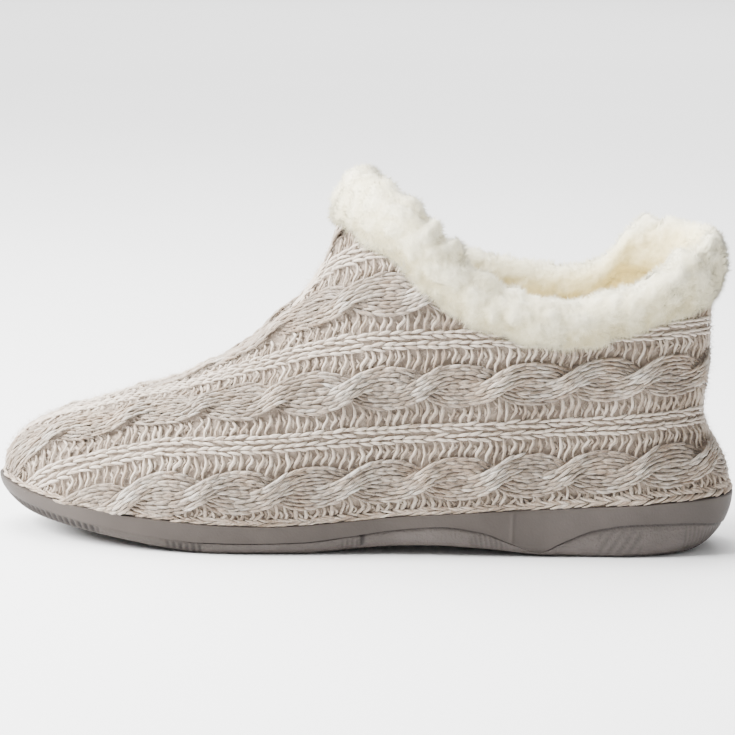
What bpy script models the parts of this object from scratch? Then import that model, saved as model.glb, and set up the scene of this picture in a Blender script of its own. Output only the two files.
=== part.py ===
"""Cable-knit house slipper for a left foot: a hollow knitted upper with raised cables, a fleece cuff folded
over its collar, an insole, and a moulded wedge sole with a lip that the upper sits in.

Metres, +Z up, +X towards the toe and +Y towards the outer side of the foot. The origin is on the floor,
under the middle of the part's box.
"""

import math

import bmesh
import bpy
import numpy as np

# Sizes are in millimetres here, and become metres when a mesh is made.
MM = 0.001

# Fits and thicknesses
GAP = 0.45
CUFF_GAP = 0.6
WALL = 3.0
INSOLE_THICKNESS = 5.0
INSOLE_EDGE = 2.0

# The last: its sections are plan outlines, one for each height above the edge of the sole. Each starts at
# front, ends at back, and has three half widths, at shares of its length from the toe.
BALL_SHARE, WAIST_SHARE, HEEL_SHARE = 0.30, 0.58, 0.82
TOE_ROUNDNESS, HEEL_ROUNDNESS = 2.0, 2.2
LAST_COLUMNS = ("height", "front", "back", "ball", "waist", "heel")
LAST_ROWS = (
    (0.0, 127.0, -127.0, 44.6, 35.2, 32.6),
    (5.0, 126.2, -126.9, 45.4, 36.0, 33.2),
    (10.0, 124.0, -125.6, 45.6, 36.6, 33.2),
    (16.0, 119.5, -122.6, 45.2, 37.0, 32.6),
    (22.0, 111.8, -119.0, 44.4, 37.2, 32.0),
    (28.0, 101.6, -117.2, 43.0, 37.2, 31.6),
    (35.0, 85.8, -117.5, 41.2, 37.0, 31.4),
    (42.0, 68.7, -118.2, 39.4, 36.8, 31.2),
    (50.0, 54.2, -118.6, 37.8, 36.6, 31.0),
    (58.0, 42.2, -118.6, 36.4, 36.4, 30.8),
    (66.0, 32.4, -118.6, 35.4, 36.4, 30.8),
    (76.0, 22.8, -119.2, 34.4, 36.6, 31.2),
    (88.0, 15.4, -120.2, 33.8, 36.8, 31.6),
    (100.0, 9.8, -121.0, 33.4, 37.0, 32.0),
    (114.0, 4.2, -121.4, 33.2, 37.0, 32.0),
)

# The foot's curve to the inner side at the toe, and to the outer side at the arch, low down only.
TOE_BEND, TOE_BEND_FROM = 5.5, 40.0
ARCH_BEND, ARCH_BEND_AT, ARCH_BEND_REACH, ARCH_BEND_TOP = 2.6, -26.0, 40.0, 45.0
SIDE_SHIFT = 0.153

# The knitted edge of the collar, above the sole's edge, against the share of the section from the front;
# how far the cuff reaches below and above that edge; and how thick it is there, against its section.
COLLAR_COLUMNS = ("share", "lateral", "medial", "drop", "rise", "bulge")
COLLAR_ROWS = (
    (0.00, 109.5, 109.5, 13.0, 9.0, 0.75),
    (0.16, 99.0, 92.5, 11.5, 8.5, 0.90),
    (0.34, 81.5, 77.5, 9.5, 7.5, 1.00),
    (0.50, 69.5, 73.0, 7.5, 7.0, 1.00),
    (0.68, 65.5, 69.5, 7.5, 7.0, 1.00),
    (0.74, 66.9, 71.0, 8.0, 7.4, 0.96),
    (0.80, 70.0, 82.0, 9.2, 7.8, 0.92),
    (1.00, 86.0, 86.0, 16.0, 7.5, 0.60),
)

# The sole's side view: its bottom and top lines, with flat rests under forefoot and heel; and the share of
# its side, from the bottom, that the recessed tread pods take up.
SOLE_COLUMNS = ("x", "bottom", "top", "pod")
SOLE_ROWS = (
    (-130.0, 0.0, 19.9, 0.46),
    (-112.0, 0.0, 19.6, 0.60),
    (-92.0, 0.0, 18.5, 0.64),
    (-80.0, 0.0, 17.9, 0.56),
    (-68.0, 0.0, 17.2, 0.30),
    (-60.0, 0.5, 16.8, 0.08),
    (-50.0, 1.4, 16.3, 0.25),
    (-40.0, 2.4, 15.7, 0.48),
    (-25.0, 3.2, 14.8, 0.63),
    (-10.0, 2.8, 13.6, 0.58),
    (6.0, 1.4, 11.9, 0.49),
    (22.0, 0.0, 10.5, 0.44),
    (36.0, 0.0, 10.0, 0.42),
    (54.0, 0.0, 10.4, 0.40),
    (68.0, 1.2, 11.2, 0.38),
    (84.0, 3.1, 12.3, 0.38),
    (102.0, 5.2, 13.9, 0.46),
    (116.0, 7.2, 16.0, 0.50),
    (130.0, 11.0, 18.9, 0.50),
)
SOLE_RIM = 2.0
SOLE_RECESS = 2.5
SOLE_EDGE_ROUND = 0.7
POD_STEP, POD_END_FADE = 0.8, 0.85
SIDE_ROUND, HEEL_ROUND, TOE_ROUND = 4.0, 19.5, 8.5

# The knit: bands that repeat up the wall, a cable and then a rib, with plain purl between them.
BAND_REPEAT = 32.0
FIRST_CABLE = 13.4
CABLE_HALF, CABLE_STRAND, CABLE_SWING, CABLE_LIFT = 7.5, 4.7, 3.3, 1.9
CABLE_CROSSING, CABLE_CROSSING_AT = 25.0, 6.2
RIB_HALF, RIB_LIFT = 3.6, 1.1
EDGE_CHAIN_TOP, EDGE_CHAIN_LIFT = 3.2, 1.2
# How far the bands lie below their even places: they run off the sole's edge at the toe.
BAND_SHIFT_COLUMNS = ("x", "shift")
BAND_SHIFT_ROWS = (
    (-127.0, 0.0),
    (-85.0, 1.2),
    (-22.0, 1.0),
    (10.0, 0.2),
    (41.0, 1.5),
    (67.0, 4.0),
    (84.0, 9.0),
    (96.0, 14.0),
    (106.0, 19.6),
    (114.0, 26.0),
    (120.0, 33.5),
    (127.0, 46.0),
)
GIRTH_STEPS = 28
GIRTH_LEAN = 2.5
RELIEF_FADE, RELIEF_CLEAR = 4.0, 4.0
SEAT_FADE = 1.6

# How finely the solids are faceted
UPPER_COLUMNS = 96
SOLE_COLUMNS_ROUND = 64
BAND_ROWS = (0.0, 2.2, 4.4, 6.6, 9.8, 13.4, 17.2, 20.8, 25.6, 29.4, 33.2, 38.0, 41.6, 45.4, 49.2, 53.0,
             57.6, 61.4, 65.2, 70.0, 76.0, 82.0, 89.0, 96.0, 103.0)
INNER_ROWS = (2.4, 10.0, 24.0, 40.0, 56.0, 74.0, 92.0)
CROWDED_ROW = 0.7

# The cuff's cross-section: along is a share of the drop where positive and of the rise where negative,
# measured down from the knitted edge, and out is the distance from the outside of the wall.
CUFF_COLUMNS = ("along", "out", "furry")
CUFF_ROWS = (
    (1.00, CUFF_GAP, 0.0),
    (1.06, 3.4, 0.6),
    (0.78, 6.6, 1.0),
    (0.36, 7.8, 1.0),
    (-0.22, 7.2, 1.0),
    (-0.72, 4.4, 1.0),
    (-1.00, -0.6, 1.0),
    (-0.86, -6.2, 1.0),
    (-0.30, -10.0, 1.0),
    (0.40, -10.6, 1.0),
    (0.86, -8.8, 0.6),
    (1.00, -WALL - CUFF_GAP, 0.0),
    (0.50, -WALL - CUFF_GAP, 0.0),
    (-0.08, -WALL - CUFF_GAP, 0.0),
    (-0.08, CUFF_GAP, 0.0),
    (0.50, CUFF_GAP, 0.0),
)
LOCK_COUNT, LOCK_RADIUS, LOCK_HEIGHT, LOCK_SEED = 260, 6.0, 2.4, 11

COLOURS = {
    "knit": ((0.56, 0.48, 0.40), 0.9),
    "fleece": ((0.86, 0.84, 0.78), 1.0),
    "footbed": ((0.84, 0.76, 0.62), 1.0),
    "rubber": ((0.21, 0.185, 0.165), 0.55),
}


def smooth_curve(rows, column):
    """A smooth curve with no overshoot through one column of a table, against the table's first column."""
    xs = np.array([row[0] for row in rows])
    ys = np.array([row[column] for row in rows])
    steps = np.diff(xs)
    slopes = np.diff(ys) / steps
    product = slopes[:-1] * slopes[1:]
    total = np.where(product > 0, slopes[:-1] + slopes[1:], 1.0)
    inner = np.where(product > 0, 2 * product / total, 0.0)
    tangents = np.concatenate([slopes[:1], inner, slopes[-1:]])

    def value(x):
        x = np.clip(np.asarray(x, float), xs[0], xs[-1])
        i = np.clip(np.searchsorted(xs, x) - 1, 0, len(steps) - 1)
        t = (x - xs[i]) / steps[i]
        rise = (3 - 2 * t) * t * t
        return (
            ys[i] * (1 - rise)
            + ys[i + 1] * rise
            + steps[i] * t * (1 - t) * (tangents[i] * (1 - t) - tangents[i + 1] * t)
        )

    return value


def curves(columns, rows):
    """The smooth curve of each named column."""
    return {name: smooth_curve(rows, i) for i, name in enumerate(columns) if i > 0}


LAST = curves(LAST_COLUMNS, LAST_ROWS)
COLLAR = curves(COLLAR_COLUMNS, COLLAR_ROWS)
SOLE = curves(SOLE_COLUMNS, SOLE_ROWS)
BAND_SHIFT = curves(BAND_SHIFT_COLUMNS, BAND_SHIFT_ROWS)


def smooth_step(value):
    """0 below 0, 1 above 1, and smooth between."""
    t = np.clip(value, 0.0, 1.0)
    return t * t * (3 - 2 * t)


def share_of(angle):
    """How far along its section from the toe a point is, from its angle round the section: 0 is the toe,
    pi the heel, and the outer side comes first."""
    return (1 - np.cos(angle)) / 2


def side_of(angle):
    """1 on the outer side of the foot and -1 on the inner side."""
    return np.where(np.sin(angle) >= 0, 1.0, -1.0)


def half_width(share, height):
    """Half the width of the last at a share of its section and a height."""
    ball, waist, heel = (LAST[name](height) for name in ("ball", "waist", "heel"))
    to_waist = smooth_step((share - BALL_SHARE) / (WAIST_SHARE - BALL_SHARE))
    to_heel = smooth_step((share - WAIST_SHARE) / (HEEL_SHARE - WAIST_SHARE))
    body = ball + (waist - ball) * to_waist + (heel - waist) * to_heel
    toe = 1 - np.clip(share / BALL_SHARE, 0, 1)
    back = np.clip((share - HEEL_SHARE) / (1 - HEEL_SHARE), 0, 1)
    toe_round = np.clip(1 - toe**2, 0, 1) ** (1 / TOE_ROUNDNESS)
    back_round = np.clip(1 - back**2, 0, 1) ** (1 / HEEL_ROUNDNESS)
    return body * toe_round * back_round


def centre_line(x, height):
    """How far the middle of the foot lies to the outer side."""
    toe = np.clip((x - TOE_BEND_FROM) / (LAST_ROWS[0][1] - TOE_BEND_FROM), 0, 1)
    arch = np.exp(-(((x - ARCH_BEND_AT) / ARCH_BEND_REACH) ** 2))
    low = 1 - smooth_step(height / ARCH_BEND_TOP)
    return SIDE_SHIFT - TOE_BEND * toe**2 + ARCH_BEND * arch * low


def last_point(angle, height):
    """Points on the outside of the plain wall."""
    share = share_of(angle)
    front, back = LAST["front"](height), LAST["back"](height)
    x = front - share * (front - back)
    y = centre_line(x, height) + side_of(angle) * half_width(share, height)
    return np.stack([x, y, height + SOLE["top"](x)], axis=-1)


def unit(vectors):
    return vectors / np.linalg.norm(vectors, axis=-1, keepdims=True)


def outward(angle, height):
    """Unit normals of the wall, pointing out."""
    turn, lift = 1e-3, 0.5
    along = last_point(angle + turn, height) - last_point(angle - turn, height)
    up = last_point(angle, height + lift) - last_point(angle, height - lift)
    return unit(np.cross(along, up))


def even_angles(count):
    """Angles of points spaced evenly round the edge of the sole, the same on both sides of the foot."""
    fine = np.linspace(0, math.pi, 400)
    points = last_point(fine, np.zeros_like(fine))
    length = np.concatenate([[0], np.cumsum(np.linalg.norm(np.diff(points, axis=0), axis=1))])
    half = np.interp(np.linspace(0, length[-1], count // 2 + 1), length, fine)
    return np.concatenate([half, 2 * math.pi - half[-2:0:-1]])


def collar_height(angle):
    """The height of the knitted edge above the sole's edge."""
    share = share_of(angle)
    return np.where(side_of(angle) > 0, COLLAR["lateral"](share), COLLAR["medial"](share))


def girth_at(x, height):
    """The distance up the wall from the edge of the sole, measured across the foot."""
    x, height = np.broadcast_arrays(x, height)
    girth = np.zeros(x.shape)
    width_below = None
    for step in range(GIRTH_STEPS + 1):
        level = height * step / GIRTH_STEPS
        front, back = LAST["front"](level), LAST["back"](level)
        width = half_width(np.clip((front - x) / (front - back), 0, 1), level)
        if width_below is not None:
            rise = height / GIRTH_STEPS
            lean = np.minimum(np.abs(width - width_below), GIRTH_LEAN * rise)
            girth = girth + np.hypot(rise, lean)
        width_below = width
    return girth


def fabric_height(x, height):
    """Where a point lies across the knit's bands."""
    return girth_at(x, height) + BAND_SHIFT["shift"](x)


def cable_relief(along, across):
    """The lift of a two-strand rope: its strands swing from edge to edge and pass over in turn."""
    lift = np.zeros(np.shape(across))
    for start in (0.0, math.pi):
        phase = math.pi * (CABLE_CROSSING_AT - along) / CABLE_CROSSING + start
        offset = (across - CABLE_SWING * np.sin(phase)) / CABLE_STRAND
        dome = np.sqrt(np.clip(1 - offset**2, 0, 1))
        lift = np.maximum(lift, dome * CABLE_LIFT * (0.72 + 0.28 * np.cos(phase)))
    return lift


def knit_relief(x, height, angle):
    """How far the knit's cables, ribs and edge chain stand out from the purl."""
    across = fabric_height(x, height)
    cable_place = (across - FIRST_CABLE + BAND_REPEAT / 2) % BAND_REPEAT - BAND_REPEAT / 2
    rib_place = np.abs(cable_place) - BAND_REPEAT / 2
    cable = np.where(np.abs(cable_place) < CABLE_HALF, cable_relief(x, cable_place), 0.0)
    rib = RIB_LIFT * np.sqrt(np.clip(1 - (rib_place / RIB_HALF) ** 2, 0, 1)) * (across > FIRST_CABLE)
    chain = EDGE_CHAIN_LIFT * np.sin(np.pi * np.clip(height / EDGE_CHAIN_TOP, 0, 1))
    below_cuff = collar_height(angle) - COLLAR["drop"](share_of(angle)) - height
    shown = smooth_step((below_cuff - RELIEF_CLEAR) / RELIEF_FADE) * smooth_step(height / SEAT_FADE)
    return np.maximum(np.maximum(cable, rib), chain) * shown


def new_object(name, collection, points, faces, material, sharp_degrees):
    """A mesh object from points in millimetres, with its faces turned out."""
    bm = bmesh.new()
    verts = [bm.verts.new(point) for point in np.asarray(points) * MM]
    for face in faces:
        bm.faces.new([verts[i] for i in face])
    bmesh.ops.recalc_face_normals(bm, faces=bm.faces)
    mesh = bpy.data.meshes.new(name)
    bm.to_mesh(mesh)
    bm.free()
    mesh.shade_smooth()
    mesh.set_sharp_from_angle(angle=math.radians(sharp_degrees))
    mesh.materials.append(material)
    obj = bpy.data.objects.new(name, mesh)
    collection.objects.link(obj)
    return obj


def bridges(ring_count, columns, wrap):
    """The faces between neighbouring rings of a loft. With wrap, the last ring joins the first."""
    faces = []
    for row in range(ring_count if wrap else ring_count - 1):
        low, high = row * columns, (row + 1) % ring_count * columns
        for i in range(columns):
            j = (i + 1) % columns
            faces.append((low + i, low + j, high + j, high + i))
    return faces


def cap(first, columns):
    """Faces across a ring, from each point of the outer side to its partner on the inner side."""
    faces = [(first, first + 1, first + columns - 1)]
    for i in range(1, columns // 2 - 1):
        faces.append((first + i, first + i + 1, first + columns - i - 1, first + columns - i))
    heel = first + columns // 2
    faces.append((heel - 1, heel, heel + 1))
    return faces


def make_upper(collection, material):
    """The knitted upper: one hollow wall, open at the collar and underneath."""
    angle = even_angles(UPPER_COLUMNS)
    edge = collar_height(angle)
    seat = np.full_like(angle, GAP - SOLE_RECESS)
    outer, inner = [seat], [seat]
    for rows, heights in ((outer, BAND_ROWS), (inner, INNER_ROWS)):
        for i, height in enumerate(heights):
            rows.append(np.minimum(height, edge - (len(heights) - i) * CROWDED_ROW))
        rows.append(edge)
    rings = []
    for height in outer:
        base = last_point(angle, height)
        relief = knit_relief(base[:, 0], height, angle)
        rings.append(base + outward(angle, height) * relief[:, None])
    for height in reversed(inner):
        rings.append(last_point(angle, height) - outward(angle, height) * WALL)
    faces = bridges(len(rings), UPPER_COLUMNS, wrap=True)
    return new_object("upper", collection, np.concatenate(rings), faces, material, 60)


def lock_lift(points, out):
    """How far the fleece's locks lift points of the cuff: rounded tufts round seeded centres."""
    rng = np.random.default_rng(LOCK_SEED)
    centres = points[rng.choice(len(points), LOCK_COUNT, replace=False)]
    heights = LOCK_HEIGHT * rng.uniform(0.35, 1.0, LOCK_COUNT)
    distance = np.linalg.norm(points[:, None] - centres[None], axis=2)
    tufts = heights * np.sqrt(np.clip(1 - (distance / LOCK_RADIUS) ** 2, 0, 1))
    return points + out * tufts.max(axis=1)[:, None]


def make_cuff(collection, material):
    """The fleece cuff: a channel folded over the knitted edge, with raised locks."""
    angle = even_angles(UPPER_COLUMNS)
    share = share_of(angle)
    edge = collar_height(angle)
    step = 0.5
    top = last_point(angle, edge)
    wall_up = (top - last_point(angle, edge - step)) / step
    stretch = np.linalg.norm(wall_up, axis=1)
    rings, furry = [], []
    for along, out, fur in CUFF_ROWS:
        down = along * np.where(along > 0, COLLAR["drop"](share), COLLAR["rise"](share))
        height = edge - np.maximum(down, 0) / stretch
        over = unit(wall_up) * np.maximum(-down, 0)[:, None]
        thick = out * np.where(fur > 0, COLLAR["bulge"](share), 1.0)
        rings.append(last_point(angle, height) + over + outward(angle, height) * thick[:, None])
        furry.append(np.full(UPPER_COLUMNS, fur))
    points = np.concatenate(rings)
    core = last_point(angle, edge) - outward(angle, edge) * WALL / 2
    out = unit(points - np.tile(core, (len(rings), 1))) * np.concatenate(furry)[:, None]
    faces = bridges(len(rings), UPPER_COLUMNS, wrap=True)
    return new_object("cuff", collection, lock_lift(points, out), faces, material, 70)


def plan_normal(angle):
    """The outward direction of the sole's outline, level with the floor."""
    normal = outward(angle, np.full_like(angle, -1.0))
    normal[:, 2] = 0
    return unit(normal)


def edge_round(normal):
    """The radius under the sole's edge: larger at the back of the heel and at the toe."""
    back = np.clip(-normal[:, 0], 0, 1) ** 2
    toe = np.clip(normal[:, 0], 0, 1) ** 2
    return SIDE_ROUND + (HEEL_ROUND - SIDE_ROUND) * back + (TOE_ROUND - SIDE_ROUND) * toe


def make_sole(collection, material):
    """The moulded sole: rounded underneath, with recessed tread pods, a lip and a seat for the upper."""
    angle = even_angles(SOLE_COLUMNS_ROUND)
    normal = plan_normal(angle)
    feather = last_point(angle, np.zeros_like(angle))
    outline = feather + normal * (SOLE_RIM + GAP)
    top = SOLE["top"](feather[:, 0])
    pod = SOLE["pod"](outline[:, 0])
    radius = edge_round(normal)
    pod_depth = POD_STEP * smooth_step(pod / 0.3) * (1 - POD_END_FADE * normal[:, 0] ** 2)

    def ring(share, recess):
        """A ring round the side at a share of its height, moved in by the rounding and a recess."""
        side = top - SOLE["bottom"](outline[:, 0])
        upright = np.minimum(radius, side)
        fall = 1 - np.clip(share * side / upright, 0, 1)
        inset = radius * (1 - np.sqrt(1 - fall**2)) + recess
        point = outline - normal * inset[:, None]
        bottom = SOLE["bottom"](point[:, 0])
        point[:, 2] = bottom + share * (top - bottom)
        return point

    rings = [ring(pod * part, pod_depth) for part in (0.0, 0.1, 0.3, 0.62, 1.0)]
    for part in (0.06, 0.5, 0.92):
        rings.append(ring(pod + (1 - pod) * part, np.zeros_like(pod)))
    for inset, drop in ((SOLE_EDGE_ROUND, 0.0), (SOLE_RIM, 0.0), (SOLE_RIM, SOLE_RECESS)):
        rim = outline - normal * inset
        rim[:, 2] = top - drop
        rings.append(rim)
    faces = bridges(len(rings), SOLE_COLUMNS_ROUND, wrap=False)
    faces += cap(0, SOLE_COLUMNS_ROUND)
    faces += cap((len(rings) - 1) * SOLE_COLUMNS_ROUND, SOLE_COLUMNS_ROUND)
    return new_object("sole", collection, np.concatenate(rings), faces, material, 35)


def make_insole(collection, material):
    """The insole: a soft pad that fills the seat inside the upper."""
    angle = even_angles(SOLE_COLUMNS_ROUND)
    normal = plan_normal(angle)
    feather = last_point(angle, np.zeros_like(angle))
    seat = SOLE["top"](feather[:, 0]) - SOLE_RECESS + GAP
    rings = []
    for inset, height in (
        (0.0, 0.0),
        (0.0, INSOLE_THICKNESS - INSOLE_EDGE),
        (INSOLE_EDGE / 3, INSOLE_THICKNESS - INSOLE_EDGE / 3),
        (INSOLE_EDGE, INSOLE_THICKNESS),
    ):
        ring = feather - normal * (WALL + GAP + inset)
        ring[:, 2] = seat + height
        rings.append(ring)
    faces = bridges(len(rings), SOLE_COLUMNS_ROUND, wrap=False)
    faces += cap(0, SOLE_COLUMNS_ROUND)
    faces += cap((len(rings) - 1) * SOLE_COLUMNS_ROUND, SOLE_COLUMNS_ROUND)
    return new_object("insole", collection, np.concatenate(rings), faces, material, 50)


def make_material(name):
    """A plain material in the piece's colour."""
    colour, roughness = COLOURS[name]
    material = bpy.data.materials.new(name)
    material.use_nodes = True
    shader = material.node_tree.nodes["Principled BSDF"]
    shader.inputs["Base Color"].default_value = (*colour, 1.0)
    shader.inputs["Roughness"].default_value = roughness
    shader.inputs["Metallic"].default_value = 0.0
    return material


def main():
    for obj in list(bpy.data.objects):
        bpy.data.objects.remove(obj)
    slipper = bpy.data.collections.new("house_slipper")
    bpy.context.scene.collection.children.link(slipper)
    make_sole(slipper, make_material("rubber"))
    make_insole(slipper, make_material("footbed"))
    make_upper(slipper, make_material("knit"))
    make_cuff(slipper, make_material("fleece"))


main()
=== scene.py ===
"""Looks of the cable-knit house slipper: its yarn, fleece cuff, lining, insole and moulded sole, with the
floor, the light and the camera. Sizes are in millimetres, and become metres when a mesh is made.
"""

import math

import bpy
import numpy as np
from mathutils import Matrix


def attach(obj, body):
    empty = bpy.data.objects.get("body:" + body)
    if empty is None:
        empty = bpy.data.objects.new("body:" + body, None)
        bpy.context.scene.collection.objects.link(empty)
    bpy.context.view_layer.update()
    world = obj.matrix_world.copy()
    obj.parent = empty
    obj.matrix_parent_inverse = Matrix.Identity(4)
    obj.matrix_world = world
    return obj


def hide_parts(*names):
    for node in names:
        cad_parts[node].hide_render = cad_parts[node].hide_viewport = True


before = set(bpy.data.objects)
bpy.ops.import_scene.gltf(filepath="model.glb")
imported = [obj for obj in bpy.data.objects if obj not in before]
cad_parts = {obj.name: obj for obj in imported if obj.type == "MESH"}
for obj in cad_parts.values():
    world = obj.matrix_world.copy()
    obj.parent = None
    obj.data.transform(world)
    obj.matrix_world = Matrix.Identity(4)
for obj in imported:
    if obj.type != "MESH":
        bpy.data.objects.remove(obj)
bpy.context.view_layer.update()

MM = 0.001
FULL_TURN = 2 * math.pi

# The last, as in the solids: plan sections by height above the edge of the sole.
BALL_SHARE, WAIST_SHARE, HEEL_SHARE = 0.30, 0.58, 0.82
TOE_ROUNDNESS, HEEL_ROUNDNESS = 2.0, 2.2
LAST_COLUMNS = ("height", "front", "back", "ball", "waist", "heel")
LAST_ROWS = (
    (0.0, 127.0, -127.0, 44.6, 35.2, 32.6),
    (5.0, 126.2, -126.9, 45.4, 36.0, 33.2),
    (10.0, 124.0, -125.6, 45.6, 36.6, 33.2),
    (16.0, 119.5, -122.6, 45.2, 37.0, 32.6),
    (22.0, 111.8, -119.0, 44.4, 37.2, 32.0),
    (28.0, 101.6, -117.2, 43.0, 37.2, 31.6),
    (35.0, 85.8, -117.5, 41.2, 37.0, 31.4),
    (42.0, 68.7, -118.2, 39.4, 36.8, 31.2),
    (50.0, 54.2, -118.6, 37.8, 36.6, 31.0),
    (58.0, 42.2, -118.6, 36.4, 36.4, 30.8),
    (66.0, 32.4, -118.6, 35.4, 36.4, 30.8),
    (76.0, 22.8, -119.2, 34.4, 36.6, 31.2),
    (88.0, 15.4, -120.2, 33.8, 36.8, 31.6),
    (100.0, 9.8, -121.0, 33.4, 37.0, 32.0),
    (114.0, 4.2, -121.4, 33.2, 37.0, 32.0),
)
TOE_BEND, TOE_BEND_FROM = 5.5, 40.0
ARCH_BEND, ARCH_BEND_AT, ARCH_BEND_REACH, ARCH_BEND_TOP = 2.6, -26.0, 40.0, 45.0
SIDE_SHIFT = 0.153
GAP = 0.45
WALL = 3.0

COLLAR_COLUMNS = ("share", "lateral", "medial", "drop", "rise", "bulge")
COLLAR_ROWS = (
    (0.00, 109.5, 109.5, 13.0, 9.0, 0.75),
    (0.16, 99.0, 92.5, 11.5, 8.5, 0.90),
    (0.34, 81.5, 77.5, 9.5, 7.5, 1.00),
    (0.50, 69.5, 73.0, 7.5, 7.0, 1.00),
    (0.68, 65.5, 69.5, 7.5, 7.0, 1.00),
    (0.74, 66.9, 71.0, 8.0, 7.4, 0.96),
    (0.80, 70.0, 82.0, 9.2, 7.8, 0.92),
    (1.00, 86.0, 86.0, 16.0, 7.5, 0.60),
)

SOLE_COLUMNS = ("x", "bottom", "top", "pod")
SOLE_ROWS = (
    (-130.0, 0.0, 19.9, 0.46),
    (-112.0, 0.0, 19.6, 0.60),
    (-92.0, 0.0, 18.5, 0.64),
    (-80.0, 0.0, 17.9, 0.56),
    (-68.0, 0.0, 17.2, 0.30),
    (-60.0, 0.5, 16.8, 0.08),
    (-50.0, 1.4, 16.3, 0.25),
    (-40.0, 2.4, 15.7, 0.48),
    (-25.0, 3.2, 14.8, 0.63),
    (-10.0, 2.8, 13.6, 0.58),
    (6.0, 1.4, 11.9, 0.49),
    (22.0, 0.0, 10.5, 0.44),
    (36.0, 0.0, 10.0, 0.42),
    (54.0, 0.0, 10.4, 0.40),
    (68.0, 1.2, 11.2, 0.38),
    (84.0, 3.1, 12.3, 0.38),
    (102.0, 5.2, 13.9, 0.46),
    (116.0, 7.2, 16.0, 0.50),
    (130.0, 11.0, 18.9, 0.50),
)
SOLE_RIM = 2.0
SOLE_RECESS = 2.5
SOLE_EDGE_ROUND = 0.7
POD_STEP, POD_END_FADE = 0.8, 0.85
SIDE_ROUND, HEEL_ROUND, TOE_ROUND = 4.0, 19.5, 8.5
SOLE_COLUMNS_ROUND = 1360
# The rings up the sole's side, as shares of its pods and of the band above, and its rim as inset and drop.
POD_PARTS = (0.0, 0.05, 0.12, 0.22, 0.34, 0.48, 0.62, 0.78, 0.90, 0.955, 1.0)
BAND_PARTS = (0.02, 0.08, 0.2, 0.35, 0.5, 0.65, 0.8, 0.9, 0.96)
RIM_ROWS = ((0.25, 0.1), (SOLE_EDGE_ROUND, 0.0), (SOLE_RIM, 0.0), (SOLE_RIM, SOLE_RECESS))
# Painted light: how much paler the rubber is painted, first on the pods and then all over. Columns: share,
# start, reach to the heel.
PAINTED_LIGHT_ROWS = ((0.55, 75.0, 45.0), (0.12, 90.0, 60.0), (0.33, -30.0, 60.0))
# Fine ribs moulded into the pods' sides. Columns: start and end along the foot, how many of the sole's
# columns a rib takes, its depth, its lean.
SOLE_RIBS = (
    (91.0, 131.0, 6, 1.05, 0.0),
    (54.5, 68.5, 5, 0.60, 0.0),
    (0.5, 9.0, 4, 0.30, 0.0),
    (-50.0, -36.0, 4, 0.35, 0.3),
    (-97.0, -80.0, 8, 0.30, -0.45),
    (-131.0, -110.0, 4, 0.30, 0.0),
)
# The groove above the pods, which ends before the toe, an upright notch in their side, and the fine line
# that the mould left on the band.
GROOVE_DEPTH, GROOVE_FRONT = 0.35, 62.0
NOTCH_AT, NOTCH_WIDTH, NOTCH_DEPTH = 0.5, 0.7, 0.7
MOULD_LINE_AT, MOULD_LINE_WIDTH, MOULD_LINE_HEIGHT = -50.8, 0.6, 0.25

# The knit's bands, by distance up from the sole: a cable, purl, a rib, purl, and again.
BAND_REPEAT = 32.0
FIRST_CABLE = 13.4
RIB_HALF = 3.2
COURSE = 3.7
CROSSING, CROSSING_AT, SWING_SHARPNESS = 25.0, -6.2, 0.9
CABLE_SWING, CABLE_HALF = 3.7, 3.8
CABLE_OVER, CABLE_UNDER = 1.8, 0.8
CABLE_DOME, CABLE_DOME_HALF = 0.5, 3.6
CABLE_WALES = (-2.6, 0.0, 2.6)
RIB_WALES = (-1.85, 1.85)
# The legs of a stitch. Columns: length, radius, lift, distance off the wale's middle, least and most slant.
CABLE_LEG = (COURSE * 1.5, 0.56, 0.55, 0.3, 0.4, 1.0)
RIB_LEG = (COURSE * 1.25, 0.51, 0.35, 0.45, 0.25, 1.15)
# The fourth value here is how strongly a leg is painted darker towards its ends (painted shade where it
# passes under its neighbours) and lighter in its middle (a painted highlight). The fifth sets where along
# that swell a yarn's tone is unchanged, for legs and purl alike.
LEG_BOW, LEG_SINK, LEG_THIN, LEG_END_SHADE, END_SHADE_MIDDLE = 0.7, 0.25, 0.3, 1.1, 0.6
# The yarn's tones: of the ribs, their spread, how far cables differ, and how much lighter the strand that
# lies over is painted, as a painted highlight, while the strand under it is painted darker, as painted shade.
RIB_TONE, TONE_SPREAD, CABLE_TONE, OVER_LIGHT_UNDER_SHADE = 3.0, 1.15, -4.9, 1.9
# The purl's strands. Columns: place along the pitch, start in the gap that it crosses, length against that
# gap, lean, radius, how far it stands out, tone, and 1 for a long strand or 0 for a branch behind it.
PURL_PITCH, PURL_TUCK, PURL_SHORTEST = 3.1, 0.9, 1.5
# The purl's bow, and how strongly a purl strand is painted darker towards its ends and lighter in its middle:
# painted shade and a painted highlight.
PURL_BOW, PURL_END_SHADE = 0.6, 1.5
# The branch's lower tone is painted shade, as it lies behind the long strand.
PURL_ROWS = (
    (0.00, 0.03, 0.94, 0.0, 0.55, 0.05, 0.4, 1),
    (0.50, 0.30, 0.45, 0.5, 0.42, -0.25, -1.0, 0),
)
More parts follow.
